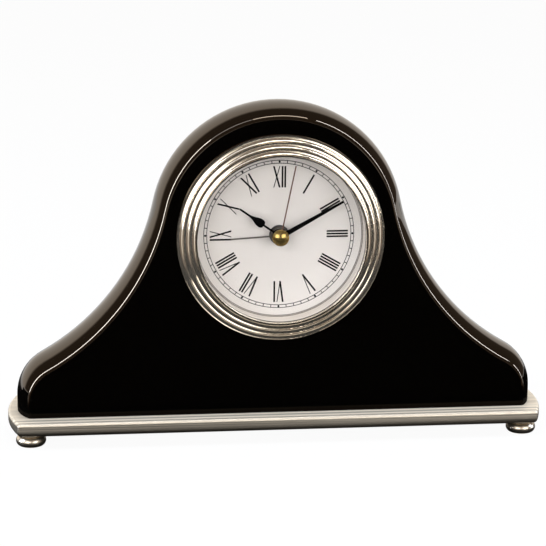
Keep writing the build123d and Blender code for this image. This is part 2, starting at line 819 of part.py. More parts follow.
def rotor_magnet():
    front = middle_plate_back + layer_gap / 2
    back = front + rotor_magnet_length
    return tube(rotor_magnet_radius, rotor_arbor_radius + hub_gap, front, back, rotor_spot)


# Stepper motor
def stator_ends():
    """The heights, down from the dial's middle, of the two ends of the stator."""
    return rotor_spot[1] - stator_reach_up, rotor_spot[1] + stator_reach_down


def coil_axis_x():
    """How far right of the dial's middle the coil's axis stands."""
    return rotor_spot[0] - coil_offset


def stator():
    """The flat iron yoke round the rotor, with two legs that reach to the coil."""
    upper, lower = stator_ends()
    middle = (upper + lower) / 2
    yoke = Pos(rotor_spot[0], middle) * Rectangle(2 * stator_half_width, lower - upper)
    far = coil_axis_x() - coil_core_width / 2
    leg_length = rotor_spot[0] - far
    for height in (upper + stator_leg_width / 2, lower - stator_leg_width / 2):
        yoke += Pos(far + leg_length / 2, height) * Rectangle(leg_length, stator_leg_width)
    yoke -= Pos(*rotor_spot) * Circle(rotor_magnet_radius + rotor_air_gap)
    return Pos(0, 0, middle_plate_back) * extrude(yoke, stator_thickness)


def coil_core():
    """The iron bar on the stator's legs that runs through the coil."""
    upper, lower = stator_ends()
    start = middle_plate_back + stator_thickness
    return block(coil_core_width, lower - upper, start, start + coil_core_thickness,
                 (coil_axis_x(), (upper + lower) / 2))


def on_coil_axis(shape):
    """Puts a spool drawn along z, from its middle, on the coil's axis between the legs."""
    upper, lower = stator_ends()
    depth = middle_plate_back + stator_thickness + coil_core_thickness / 2
    return Pos(coil_axis_x(), (upper + lower) / 2, depth) * Rot(90, 0, 0) * shape


def bobbin_length():
    """The room for the spool between the stator's legs."""
    upper, lower = stator_ends()
    return lower - upper - 2 * stator_leg_width - 2 * bobbin_end_gap


def coil_bobbin():
    half = bobbin_length() / 2
    spool = disc(bobbin_core_radius, -half, half)
    spool += disc(bobbin_flange_radius, -half, -half + bobbin_flange_width)
    spool += disc(bobbin_flange_radius, half - bobbin_flange_width, half)
    hole = block(coil_core_width + 2 * core_clearance, coil_core_thickness + 2 * core_clearance, -half, half)
    return on_coil_axis(spool - hole)


def motor_coil():
    half = bobbin_length() / 2 - bobbin_flange_width
    return on_coil_axis(tube(bobbin_flange_radius - coil_inset, bobbin_core_radius, -half, half))


# Circuit board
def board_back():
    """The depth of the board's rear face."""
    return rear_wall_front - board_stand_off


def board_posts():
    """The spots of the two posts that the board rests on."""
    return [(board_left + board_post_inset, -board_bottom - board_post_inset),
            (board_right - board_post_inset, -board_top + board_post_inset)]


def board_middle():
    return (board_left + board_right) / 2, -(board_top + board_bottom) / 2


def circuit_board():
    """The board, located by one of the screw bosses that passes through it."""
    outline = RectangleRounded(board_right - board_left, board_top - board_bottom, board_corner_round)
    board = Pos(*board_middle(), board_back() - board_thickness) * extrude(outline, board_thickness)
    boss = disc(pillar_radius + board_hole_clearance, middle_plate_back, rear_wall_front, pillar_spots[1])
    return board - boss


def driver_chip():
    face = board_back() - board_thickness
    spot = (board_right - chip_side / 2 - board_corner_round, -board_top + chip_side / 2 + board_corner_round)
    return block(chip_side, chip_side, face - chip_height, face, spot)


def quartz_crystal():
    """The small can that lies along the board."""
    face = board_back() - board_thickness
    x = board_right - 2 * crystal_radius
    start = -board_bottom - board_corner_round
    can = disc(crystal_radius, 0, crystal_length)
    return Pos(x, start, face - crystal_radius - crystal_gap) * Rot(90, 0, 0) * can


def sounder():
    return disc(sounder_radius, rear_wall_front - sounder_length, rear_wall_front, sounder_spot)


# Button cell and its door
def battery_cell():
    """A button cell: a can with a smaller cap at its negative end."""
    can = disc(cell_radius, cell_front + cell_cap_step, cell_back, cell_spot)
    return can + disc(cell_radius - cell_cap_step, cell_front, cell_front + cell_cap_step, cell_spot)


def battery_contact_minus():
    return disc(minus_contact_radius, pocket_floor_back, cell_front, cell_spot)


def battery_contact_plus():
    """A curved strip between the can and the pocket's wall."""
    inner = cell_radius + contact_gap
    ring = tube(inner + contact_thickness, inner, cell_back - plus_contact_length, cell_back)
    reach = 2 * inner
    half = radians(plus_contact_angle / 2)
    wedge = make_face(Polyline((0, 0), (reach * cos(half), reach * sin(half)),
                               (reach * cos(half), -reach * sin(half)), close=True))
    strip = ring & extrude(wedge, rear_wall_back)
    return Pos(*cell_spot, 0) * strip


def battery_door():
    """A coin-turned hatch: flange, plug and two lugs that lock behind the rear wall."""
    plug_front = rear_wall_front - door_plug_below_wall
    flange_front = rear_wall_back + door_gap / 2
    flange_back = flange_front + door_flange_thickness
    door = disc(door_plug_radius, plug_front, flange_front)
    door += disc(lug_room_radius + door_flange_overlap, flange_front, flange_back)
    lug_back = rear_wall_front - door_gap
    lug_bar = Rectangle(2 * (door_plug_radius + door_lug_reach), door_lug_width)
    lug_bar &= Circle(door_plug_radius + door_lug_reach)
    door += Pos(0, 0, plug_front) * extrude(lug_bar, lug_back - plug_front)
    door -= block(coin_slot_length, coin_slot_width, flange_back - coin_slot_depth, flange_back)
    return Pos(*cell_spot, 0) * door


# Setting shafts, knobs and switch
def set_shaft(gear, spot):
    """A setting shaft with its gear, a front pivot and a rear end in its knob."""
    end = rear_wall_back + knob_gap + knob_height - knob_roof
    shaft = disc(set_shaft_radius, front_plate_back + pivot_end_gap, end, spot)
    pivot = disc(set_pivot_radius, front_plate_back - pivot_depth, front_plate_back + pivot_end_gap, spot)
    return gear + shaft + pivot


def time_set_shaft():
    gear = pinion(motion_module, time_set_leaves, motion_layer, wheel_face, time_set_spot,
                  tooth_towards(time_set_spot, motion_spot))
    return set_shaft(gear, time_set_spot)


def alarm_set_shaft():
    gear = wheel(alarm_module, alarm_set_teeth, alarm_layer, wheel_face, alarm_set_spot,
                 gap_towards(alarm_set_spot, alarm_idler_spot, alarm_set_teeth))
    return set_shaft(gear, alarm_set_spot)


def knob(spot):
    """A fluted thumb knob pushed on a setting shaft."""
    front = rear_wall_back + knob_gap
    back = front + knob_height
    body = disc(knob_radius, front, back)
    body = fillet(body.edges().group_by(Axis.Z)[-1], knob_edge_round)
    body -= [disc(knob_flute_radius, front, back, place) for place in around(knob_radius, knob_flute_count)]
    body -= disc(set_shaft_radius + knob_bore_gap, front, back - knob_roof + knob_bore_gap)
    return Pos(*spot, 0) * body


def alarm_switch():
    """A slide: shoe inside, stem through the slot, ribbed thumb piece behind the rear wall."""
    shoe_back = rear_wall_front - switch_slot_gap
    thumb_front = rear_wall_back + switch_slot_gap
    thumb_back = thumb_front + switch_thumb_thickness
    slide = block(switch_shoe_width, switch_shoe_height, shoe_back - switch_shoe_thickness, shoe_back)
    slide += block(switch_stem_width, switch_stem_height, shoe_back, thumb_front)
    slide += block(switch_thumb_width, switch_thumb_height, thumb_front, thumb_back)
    pitch = switch_thumb_width / (2 * switch_rib_count)
    first = -switch_thumb_width / 2 + pitch
    slide -= [block(pitch, switch_thumb_height, thumb_back - switch_rib_depth, thumb_back,
                    (first + 2 * pitch * number, 0)) for number in range(switch_rib_count)]
    return Pos(*switch_spot, 0) * slide


def solids():
    """Every node's name and shape, in the clock's own frame."""
    feet = {"front_left": (-1, -1), "front_right": (1, -1), "rear_left": (-1, 1), "rear_right": (1, 1)}
    nodes = {"case_body": case_body(), "base_plate": base_plate(), "case_screws": case_screws()}
    for corner, (side, end) in feet.items():
        nodes[f"foot_{corner}"] = foot(side * foot_x, end * foot_y)
    makers = [
        bezel, lens_glass, reflector_ring, dial, grip_ring, front_plate, middle_plate, movement_case,
        movement_screws, alarm_hand, hour_hand, minute_hand, second_hand, second_hand_cap, alarm_wheel,
        alarm_idler, hour_wheel, motion_wheel, cannon_pinion, centre_wheel, third_wheel, seconds_wheel,
        intermediate_wheel, rotor_pinion, rotor_magnet, stator, coil_core, coil_bobbin, motor_coil,
        circuit_board, driver_chip, quartz_crystal, sounder, battery_cell, battery_contact_minus,
        battery_contact_plus, battery_door, time_set_shaft, alarm_set_shaft, alarm_switch,
    ]
    inner = {maker.__name__: maker() for maker in makers}
    inner["time_knob"] = knob(time_set_spot)
    inner["alarm_knob"] = knob(alarm_set_spot)
    for name, shape in inner.items():
        placed = [MOVEMENT * piece for piece in shape] if isinstance(shape, list) else MOVEMENT * shape
        nodes[name] = placed
    return nodes


os.makedirs("parts", exist_ok=True)
for name, shape in solids().items():
    whole = Compound(children=shape) if isinstance(shape, list) else shape
    export_step(whole, f"parts/{name}.step")
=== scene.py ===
"""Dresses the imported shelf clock: a finish for every node, the dial print, the studio and the camera.

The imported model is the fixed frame: metres, +Z up, the dial facing -Y, the origin on the table.
"""

import json
import logging
import math
from collections.abc import Callable
from dataclasses import dataclass, field
from enum import Enum

import bpy
from mathutils import Matrix, Vector

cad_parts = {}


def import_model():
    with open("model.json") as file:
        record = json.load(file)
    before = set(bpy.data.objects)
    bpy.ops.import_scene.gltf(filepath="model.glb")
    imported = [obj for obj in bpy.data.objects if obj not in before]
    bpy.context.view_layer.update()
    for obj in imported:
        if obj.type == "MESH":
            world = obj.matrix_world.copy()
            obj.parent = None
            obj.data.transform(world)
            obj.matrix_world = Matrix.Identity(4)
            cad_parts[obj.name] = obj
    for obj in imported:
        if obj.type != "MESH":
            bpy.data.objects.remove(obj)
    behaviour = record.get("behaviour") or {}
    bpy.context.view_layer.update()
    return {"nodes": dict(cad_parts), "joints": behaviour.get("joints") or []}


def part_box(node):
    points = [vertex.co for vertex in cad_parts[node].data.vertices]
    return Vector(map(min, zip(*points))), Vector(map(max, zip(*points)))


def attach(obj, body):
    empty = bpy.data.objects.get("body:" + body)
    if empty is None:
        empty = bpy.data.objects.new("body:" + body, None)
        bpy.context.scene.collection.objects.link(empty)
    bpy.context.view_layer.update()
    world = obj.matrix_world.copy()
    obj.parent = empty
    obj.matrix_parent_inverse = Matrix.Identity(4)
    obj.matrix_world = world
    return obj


log = logging.getLogger("shelf_clock")

Colour = tuple[float, float, float]
Point = tuple[float, float, float]
Pair = tuple[float, float]
Piece = bpy.types.Object
Nodes = dict[str, bpy.types.Object]

MM = 0.001
DIAL_HEIGHT = 70.4 * MM
PLATE_TOP = 9.3 * MM
CASE_HALF_DEPTH = 12.0 * MM
ORIGIN: Point = (0.0, 0.0, 0.0)
WHITE: Colour = (1.0, 1.0, 1.0)


class Value:
    """One output of a shader tree; arithmetic on it adds Math nodes to the tree."""

    def __init__(self, tree: "ShaderTree", socket: bpy.types.NodeSocket | None) -> None:
        """Keeps the tree and the socket."""
        self.tree = tree
        self.socket = socket

    def _math(self, operation: str, first: "Value | float", second: "Value | float") -> "Value":
        """Adds one Math node."""
        return self.tree.node("ShaderNodeMath", {"operation": operation}, {0: first, 1: second})

    def __add__(self, other: "Value | float") -> "Value":
        """self + other."""
        return self._math("ADD", self, other)

    def __radd__(self, other: float) -> "Value":
        """other + self."""
        return self._math("ADD", other, self)

    def __sub__(self, other: "Value | float") -> "Value":
        """self - other."""
        return self._math("SUBTRACT", self, other)

    def __rsub__(self, other: float) -> "Value":
        """other - self."""
        return self._math("SUBTRACT", other, self)

    def __mul__(self, other: "Value | float") -> "Value":
        """self * other."""
        return self._math("MULTIPLY", self, other)

    def __rmul__(self, other: float) -> "Value":
        """other * self."""
        return self._math("MULTIPLY", other, self)

    def __truediv__(self, other: "Value | float") -> "Value":
        """self / other."""
        return self._math("DIVIDE", self, other)

    def __pow__(self, other: "Value | float") -> "Value":
        """self to the power other."""
        return self._math("POWER", self, other)


class Ray(Enum):
    """The kinds of ray that a shader tells apart."""

    CAMERA = "Is Camera Ray"
    GLOSSY = "Is Glossy Ray"
    TRANSMISSION = "Is Transmission Ray"
    SHADOW = "Is Shadow Ray"


class ShaderTree:
    """The node tree of a material or the world, filled by one method for any node."""

    def __init__(self, owner: bpy.types.Material | bpy.types.World) -> None:
        """Empties the owner's tree and keeps it.

        Args:
            owner: the material or world whose nodes are drawn.
        """
        owner.use_nodes = True
        self.tree = owner.node_tree
        self.tree.nodes.clear()

    def node(self, kind: str, settings: dict | None = None, sockets: dict | None = None,
             output: int | str = 0) -> Value:
        """Adds a node.

        Args:
            kind: the node's type.
            settings: its properties, set first.
            sockets: values, colours or links of its inputs, by name or number.
            output: which output is given back.
        Returns:
            That output, or an empty value for a node that ends the tree.
        """
        made = self.tree.nodes.new(kind)
        for name, setting in (settings or {}).items():
            setattr(made, name, setting)
        for key, given in (sockets or {}).items():
            socket = made.inputs[key]
            if isinstance(given, Value):
                self.tree.links.new(given.socket, socket)
            elif socket.type == "RGBA":
                socket.default_value = (*given, 1.0)
            else:
                socket.default_value = given
        return Value(self, made.outputs[output] if made.outputs else None)

    def place(self) -> Value:
        """The point on the surface, in the clock's frame."""
        return self.node("ShaderNodeTexCoord", output="Object")

    def axis(self, vector: Value, name: str) -> Value:
        """One coordinate of a vector: X, Y or Z."""
        return self.node("ShaderNodeSeparateXYZ", None, {0: vector}, name)

    def stretched(self, vector: Value, scale: Point) -> Value:
        """The vector scaled by a Mapping node."""
        return self.node("ShaderNodeMapping", None, {"Vector": vector, "Scale": scale})

    def ray(self, kind: Ray) -> Value:
        """1 where a ray is of the kind, else 0."""
        return self.node("ShaderNodeLightPath", output=kind.value)

    def noise(self, vector: Value, scale: float, detail: float = 2.0) -> Value:
        """Soft noise from 0 to 1."""
        sockets = {"Vector": vector, "Scale": scale, "Detail": detail}
        return self.node("ShaderNodeTexNoise", None, sockets)

    def ramp(self, value: Value, edges: Pair, ends: Pair = (0.0, 1.0), soft: bool = False) -> Value:
        """A share that changes while a value goes from one edge to another.

        Args:
            value: what is compared with the edges.
            edges: where the change starts and stops.
            ends: the share before the first edge and past the second.
            soft: whether the change eases in and out.
        Returns:
            The share.
        """
        settings = {"interpolation_type": "SMOOTHSTEP" if soft else "LINEAR"}
        sockets = {0: value, 1: edges[0], 2: edges[1], 3: ends[0], 4: ends[1]}
        return self.node("ShaderNodeMapRange", settings, sockets)

    def mix(self, share: Value, first: Value | Colour, second: Value | Colour) -> Value:
        """A colour between two by a share from 0 to 1."""
        # A Mix node's colours come in at sockets 6 and 7 and go out at 2.
        settings = {"data_type": "RGBA", "clamp_factor": True}
        return self.node("ShaderNodeMix", settings, {0: share, 6: first, 7: second}, 2)

    def shades(self, share: Value, colour: Colour, spread: Pair) -> Value:
        """A colour between a darker and a lighter shade of itself."""
        return self.mix(share, scaled(colour, spread[0]), scaled(colour, spread[1]))

    def bump(self, height: Value, strength: float = 1.0, depth: float = 1.0) -> Value:
        """A normal disturbed by a height.

        Args:
            height: the pattern, 0 to 1, or a height in metres with no depth given.
            strength: how much of it shows.
            depth: its depth in metres.
        Returns:
            The normal.
        """
        sockets = {"Height": height, "Strength": strength, "Distance": depth}
        return self.node("ShaderNodeBump", None, sockets)

    def principled(self, sockets: dict) -> Value:
        """A Principled shader."""
        return self.node("ShaderNodeBsdfPrincipled", None, sockets)

    def mixed(self, share: Value, first: Value, second: Value) -> Value:
        """Two shaders mixed by a share."""
        return self.node("ShaderNodeMixShader", None, {0: share, 1: first, 2: second})

    def surface(self, shader: Value, kind: str = "ShaderNodeOutputMaterial") -> None:
        """Ends the tree with its surface."""
        self.node(kind, None, {"Surface": shader})


def scaled(colour: Colour, factor: float) -> Colour:
    """The colour lighter or darker by a factor."""
    return (colour[0] * factor, colour[1] * factor, colour[2] * factor)


class Finish:
    """A finish that can be laid on a node or a piece; each kind draws its own nodes."""

    def shader(self, tree: ShaderTree) -> Value:
        """Draws the finish's nodes; each kind has its own."""
        raise NotImplementedError

    def material(self, name: str) -> bpy.types.Material:
        """Makes the material.

        Args:
            name: the material's name.
        Returns:
            The material, with its tree drawn.
        """
        made = bpy.data.materials.new(name)
        tree = ShaderTree(made)
        tree.surface(self.shader(tree))
        return made


@dataclass(frozen=True)
class PianoLacquer(Finish):
    """Black lacquer polished to a mirror, with a faint polishing haze and orange peel.

    It is built up to a crown along the middle of the case's depth, and is dull at its hem on the plate.
    """

    colour: Colour = (0.0006, 0.0005, 0.0004)
    spread: Pair = (0.8, 1.2)
    tint: Colour = (1.0, 0.81, 0.61)
    mirror: float = 1.95
    gloss: float = 0.02
    haze: float = 0.03
    haze_scale: float = 60.0
    peel_scale: float = 420.0
    peel_height: float = 0.0012 * MM
    crown: float = 0.6 * MM
    half_depth: float = CASE_HALF_DEPTH
    hem: Pair = (PLATE_TOP + 2.0 * MM, PLATE_TOP + 5.0 * MM)
    hem_share: float = 0.05
    hem_roughness: float = 0.7
    hem_mirror: float = 1.05

    def shader(self, tree: ShaderTree) -> Value:
        """Draws the lacquer's nodes.

        Args:
            tree: the tree that takes them.
        Returns:
            The shader.
        """
        place = tree.place()
        haze = tree.noise(place, self.haze_scale, detail=4.0)
        peel = tree.noise(place, self.peel_scale, detail=1.0)
        reach = tree.axis(place, "Y") / self.half_depth
        build_up = self.peel_height * peel - self.crown * (reach * reach)
        shade = tree.shades(haze, self.colour, self.spread)
        polished = tree.principled({
            "Base Color": shade,
            "Roughness": self.gloss + self.haze * haze ** 2.0,
            "IOR": self.mirror,
            "Specular Tint": self.tint,
            "Normal": tree.bump(build_up),
        })
        dull = tree.principled({
            "Base Color": shade,
            "Roughness": self.hem_roughness,
            "IOR": self.hem_mirror,
        })
        share = tree.ramp(tree.axis(place, "Z"), self.hem, (self.hem_share, 1.0))
        return tree.mixed(share, dull, polished)


@dataclass(frozen=True)
class BrushedPlating(Finish):
    """Warm nickel plating brushed along X, with the deepest strokes on its top.

    The strokes are even on the ledge before the case and broad past it. The front's colour is painted
    darker downwards, a painted shade for the light falling off round its lower edge.
    """

    colour: Colour = (0.82, 0.74, 0.61)
    spread: Pair = (0.74, 1.2)
    # The near-black colour that the front's colour is painted down towards: a painted shade.
    under: Colour = (0.02, 0.017, 0.014)
    roughness: float = 0.42
    streak_roughness: float = 0.24
    top_roughness: float = 0.15
    sheen: float = 0.4
    streak_length: float = 5.0
    streak_width: float = 3200.0
    band_width: float = 360.0
    band_level: float = 0.3
    band_gain: float = 0.45
    stroke_scale: float = 108.0
    fine_share: float = 0.3
    contrast: Pair = (0.36, 0.64)
    ledge: Pair = (-CASE_HALF_DEPTH - 1.2 * MM, -CASE_HALF_DEPTH)
    top_edge: Pair = (PLATE_TOP - 0.8 * MM, PLATE_TOP - 0.1 * MM)
    # The heights over which that painted shade grows down the front, and how much plain colour is left
    # at the bottom.
    front_edge: Pair = (PLATE_TOP - 4.7 * MM, PLATE_TOP - 0.9 * MM)
    shade: float = 0.45
    relief: float = 0.12
    depth: float = 0.12 * MM

    def shader(self, tree: ShaderTree) -> Value:
        """Draws the plating's nodes.

        Args:
            tree: the tree that takes them.
        Returns:
            The shader.
        """
        place = tree.place()
        height = tree.axis(place, "Z")
        drawn = tree.stretched(place, (self.streak_length, self.streak_width, self.streak_width))
        fine = tree.noise(drawn, 1.0)
        level = tree.stretched(place, (self.streak_length / 2, self.band_width, 0.0))
        broad = self.band_level + self.band_gain * tree.noise(level, 1.0, detail=1.0)
        even = tree.node("ShaderNodeTexWave", {"bands_direction": "Y"},
                         {"Vector": place, "Scale": self.stroke_scale})
        ledge = tree.ramp(tree.axis(place, "Y"), self.ledge, (1.0, 0.0))
        band = even * ledge + broad * (1.0 - ledge)
        top = tree.ramp(height, self.top_edge)
        deep = self.fine_share * fine + (1.0 - self.fine_share) * band
        streak = deep * top + fine * (1.0 - top)
        pale = tree.shades(tree.ramp(streak, self.contrast), self.colour, self.spread)
        # Painted shade: down the front the base colour blends towards the near-black colour, standing in
        # for the light falling off round the lower edge.
        rise = tree.ramp(height, self.front_edge, (self.shade, 1.0))
        rubbed = self.roughness + self.streak_roughness * (streak - 0.5)
        return tree.principled({
            "Base Color": tree.mix(rise, self.under, pale),
            "Roughness": rubbed + self.top_roughness * top,
            "Metallic": 1.0 - self.sheen * top,
            "Normal": tree.bump(fine, self.relief, self.depth),
        })


@dataclass(frozen=True)
class TurnedMetal(Finish):
    """Metal turned on a lathe about an axis along Y, with fine rings and faint handling marks.

    A darker line is painted round it at the radius of its lip, a painted dark reflection with glossier
    metal under it; where that radius is 0 it is a painted dark dot in the middle.
    """

    colour: Colour
    roughness: float
    metallic: float = 1.0
    centre: Pair = (0.0, DIAL_HEIGHT)
    spread: Pair = (0.94, 1.04)
    wear: float = 0.75
    ring_wear: float = 0.3
    mark_wear: float = 0.2
    mark_scale: float = 90.0
    ring_scale: float = 5200.0
    ring_relief: float = 0.05
    depth: float = 0.01 * MM
    # The lip's radius, where a painted dark reflection runs round; at 0 it is a painted dark dot in the
    # middle.
    lip: float = 0.0
    lip_edges: Pair = (0.25 * MM, 0.3 * MM)
    lip_painted_shade: float = 0.4
    lip_wear: float = 0.4

    def shader(self, tree: ShaderTree) -> Value:
        """Draws the turned metal's nodes.

        Args:
            tree: the tree that takes them.
        Returns:
            The shader.
        """
        place = tree.place()
        across = tree.axis(place, "X") - self.centre[0]
        above = tree.axis(place, "Z") - self.centre[1]
        radius = (across * across + above * above) ** 0.5
        line = tree.node("ShaderNodeCombineXYZ", None, {0: radius, 1: tree.axis(place, "Y")})
        rings = tree.noise(line, self.ring_scale, detail=1.0)
        marks = tree.noise(place, self.mark_scale, detail=4.0)
        # Painted dark reflection: near the lip's radius the base colour is darkened and the metal made
        # glossier.
        off = tree.node("ShaderNodeMath", {"operation": "ABSOLUTE"}, {0: radius - self.lip})
        outside = tree.ramp(off, self.lip_edges)
        plain = tree.shades(marks, self.colour, self.spread)
        worn = self.wear + self.ring_wear * rings + self.mark_wear * marks
        lip_worn = self.lip_wear + (1.0 - self.lip_wear) * outside
        return tree.principled({
            "Base Color": tree.mix(outside, scaled(self.colour, self.lip_painted_shade), plain),
            "Roughness": self.roughness * worn * lip_worn,
            "Metallic": self.metallic,
            "Normal": tree.bump(rings, self.ring_relief, self.depth),
        })


@dataclass(frozen=True)
class PlainMetal(Finish):
    """Plated or annealed metal with a fine grain in no direction."""

    colour: Colour
    roughness: float
    spread: Pair = (0.9, 1.08)
    wear: float = 0.7
    cloud_wear: float = 0.4
    grain_wear: float = 0.2
    grain_scale: float = 1800.0
    cloud_scale: float = 150.0
    relief: float = 0.08
    depth: float = 0.02 * MM

    def shader(self, tree: ShaderTree) -> Value:
        """Draws the metal's nodes.

        Args:
            tree: the tree that takes them.
        Returns:
            The shader.
        """
        place = tree.place()
        grain = tree.noise(place, self.grain_scale, detail=3.0)
        cloud = tree.noise(place, self.cloud_scale, detail=3.0)
        worn = self.wear + self.cloud_wear * cloud + self.grain_wear * grain
        return tree.principled({
            "Base Color": tree.shades(cloud, self.colour, self.spread),
            "Roughness": self.roughness * worn,
            "Metallic": 1.0,
            "Normal": tree.bump(grain, self.relief, self.depth),
        })


@dataclass(frozen=True)
class Moulding(Finish):
    """Moulded plastic or rubber with a fine eroded grain."""

    colour: Colour
    roughness: float = 0.45
    metallic: float = 0.0
    mirror: float = 1.48
    spread: Pair = (0.88, 1.12)
    grain_roughness: float = 0.14
    grain_scale: float = 2600.0
    cloud_scale: float = 130.0
    cloud_detail: float = 3.0
    relief: float = 0.15
    depth: float = 0.05 * MM

    def shader(self, tree: ShaderTree) -> Value:
        """Draws the skin's nodes.

        Args:
            tree: the tree that takes them.
        Returns:
            The shader.
        """
        place = tree.place()
        grain = tree.noise(place, self.grain_scale)
        cloud = tree.noise(place, self.cloud_scale, self.cloud_detail)
        return tree.principled({
            "Base Color": tree.shades(cloud, self.colour, self.spread),
            "Roughness": self.roughness + self.grain_roughness * (grain - 0.5),
            "Metallic": self.metallic,
            "IOR": self.mirror,
            "Normal": tree.bump(grain, self.relief, self.depth),
        })


@dataclass(frozen=True)
class Paint(Moulding):
    """Satin paint on thin metal: dial, hands and print. Its skin is finer than a moulding's."""

    roughness: float = 0.4
    spread: Pair = (0.985, 1.015)
    grain_roughness: float = 0.1
    grain_scale: float = 3200.0
    cloud_scale: float = 120.0
    cloud_detail: float = 2.0
    relief: float = 0.05
    depth: float = 0.02 * MM


@dataclass(frozen=True)
class LensGlass(Finish):
    """Clear mineral glass that lets light straight through to the dial."""

    colour: Colour = (0.985, 0.99, 0.985)
    mirror: float = 1.46
    smear: float = 0.02
    smear_scale: float = 70.0

    def shader(self, tree: ShaderTree) -> Value:
        """Draws the glass's nodes.

        Args:
            tree: the tree that takes them.
        Returns:
            The shader.
        """
        smear = tree.noise(tree.place(), self.smear_scale, detail=3.0)
        glass = tree.principled({
            "Base Color": self.colour,
            "Roughness": self.smear * smear ** 2.0,
            "IOR": self.mirror,
            "Transmission Weight": 1.0,
        })
        clear = tree.node("ShaderNodeBsdfTransparent", None, {"Color": self.colour})
        return tree.mixed(tree.ray(Ray.SHADOW), glass, clear)


@dataclass(frozen=True)
class WoundWire(Finish):
    """Enamelled copper wire wound in layers about a coil along Z."""

    colour: Colour = (0.50, 0.20, 0.07)
    spread: Pair = (0.55, 1.15)
    wires: float = 4200.0
    stray: float = 0.6
    roughness: float = 0.32
    ridge_gloss: float = 0.08
    metallic: float = 0.85
    relief: float = 0.4
    depth: float = 0.05 * MM

    def shader(self, tree: ShaderTree) -> Value:
        """Draws the wire's nodes.

        Args:
            tree: the tree that takes them.
        Returns:
            The shader.
        """
        turns = tree.node("ShaderNodeTexWave", {"bands_direction": "Z"},
                          {"Vector": tree.place(), "Scale": self.wires, "Distortion": self.stray})
        return tree.principled({
            "Base Color": tree.shades(turns, self.colour, self.spread),
            "Roughness": self.roughness - self.ridge_gloss * turns,
            "Metallic": self.metallic,
            "Normal": tree.bump(turns, self.relief, self.depth),
        })


@dataclass(frozen=True)
class BoardMask(Finish):
    """Green solder mask with copper tracks just showing under it."""

    colour: Colour = (0.02, 0.16, 0.06)
    track: Colour = (0.05, 0.28, 0.10)
    track_scale: float = 480.0
    track_width: float = 0.09
    roughness: float = 0.38
    track_gloss: float = 0.1
    mirror: float = 1.5
    relief: float = 0.2
    depth: float = 0.03 * MM

    def shader(self, tree: ShaderTree) -> Value:
        """Draws the board's nodes.

        Args:
            tree: the tree that takes them.
        Returns:
            The shader.
        """
        cells = tree.node("ShaderNodeTexVoronoi", {"feature": "DISTANCE_TO_EDGE"},
                          {"Vector": tree.place(), "Scale": self.track_scale})
        line = tree.node("ShaderNodeMath", {"operation": "LESS_THAN"}, {0: cells, 1: self.track_width})
        return tree.principled({
            "Base Color": tree.mix(line, self.colour, self.track),
            "Roughness": self.roughness - self.track_gloss * line,
            "IOR": self.mirror,
            "Normal": tree.bump(line, self.relief, self.depth),
        })


class Slot(Enum):
    """The record's material slots."""

    LACQUER = "black_lacquer"
    BASE = "plated_base"
    FOOT = "plated_foot"
    BEZEL = "plated_bezel"
    GLASS = "clear_glass"
    DIAL = "dial_white"
    HAND_BLACK = "hand_black"
    HAND_COPPER = "hand_copper"
    HAND_GREY = "hand_grey"
    CAP = "cap_brass"
    RUBBER = "grip_rubber"
    CASE = "case_plastic"
    SWITCH = "switch_plastic"
    WHEEL = "wheel_plastic"
    SCREW = "screw_steel"
    MAGNET = "magnet"
    IRON = "soft_iron"
    COIL = "coil_wire"
    BOARD = "board_green"
    CHIP = "chip_black"
    CAN = "can_steel"
    SOUNDER = "sounder_plastic"


WARM_NICKEL: Colour = (0.82, 0.725, 0.585)

FINISHES: dict[Slot, Finish] = {
    Slot.LACQUER: PianoLacquer(),
    Slot.BASE: BrushedPlating(),
    Slot.FOOT: PlainMetal(WARM_NICKEL, 0.32, relief=0.02),
    # The bezel's lip carries a painted dark reflection line.
    Slot.BEZEL: TurnedMetal(WARM_NICKEL, 0.15, 0.95, lip=28.75 * MM),
    Slot.GLASS: LensGlass(),
    Slot.DIAL: Paint((0.86, 0.80, 0.765), 0.5),
    Slot.HAND_BLACK: Paint((0.0014, 0.0014, 0.0015), 0.55, mirror=1.12),
    Slot.HAND_COPPER: Paint((0.16, 0.08, 0.055), 0.36, metallic=0.3),
    Slot.HAND_GREY: Paint((0.12, 0.10, 0.085), 0.35),
    # With a lip of 0 the cap gets a small painted dark dot in its middle.
    Slot.CAP: TurnedMetal((0.52, 0.37, 0.13), 0.2),
    Slot.RUBBER: Moulding((0.02, 0.02, 0.021), 0.62),
    Slot.CASE: Moulding((0.024, 0.024, 0.026)),
    Slot.SWITCH: Moulding((0.50, 0.05, 0.04), 0.4),
    Slot.WHEEL: Moulding((0.74, 0.72, 0.66), 0.42, relief=0.06),
    Slot.SCREW: PlainMetal((0.62, 0.61, 0.58), 0.3),
    Slot.MAGNET: PlainMetal((0.20, 0.20, 0.205), 0.45),
    Slot.IRON: PlainMetal((0.46, 0.46, 0.47), 0.4),
    Slot.COIL: WoundWire(),
    Slot.BOARD: BoardMask(),
    Slot.CHIP: Moulding((0.018, 0.018, 0.019), 0.5),
    Slot.CAN: PlainMetal((0.68, 0.67, 0.64), 0.25),
    Slot.SOUNDER: Moulding((0.03, 0.03, 0.032), 0.4),
}


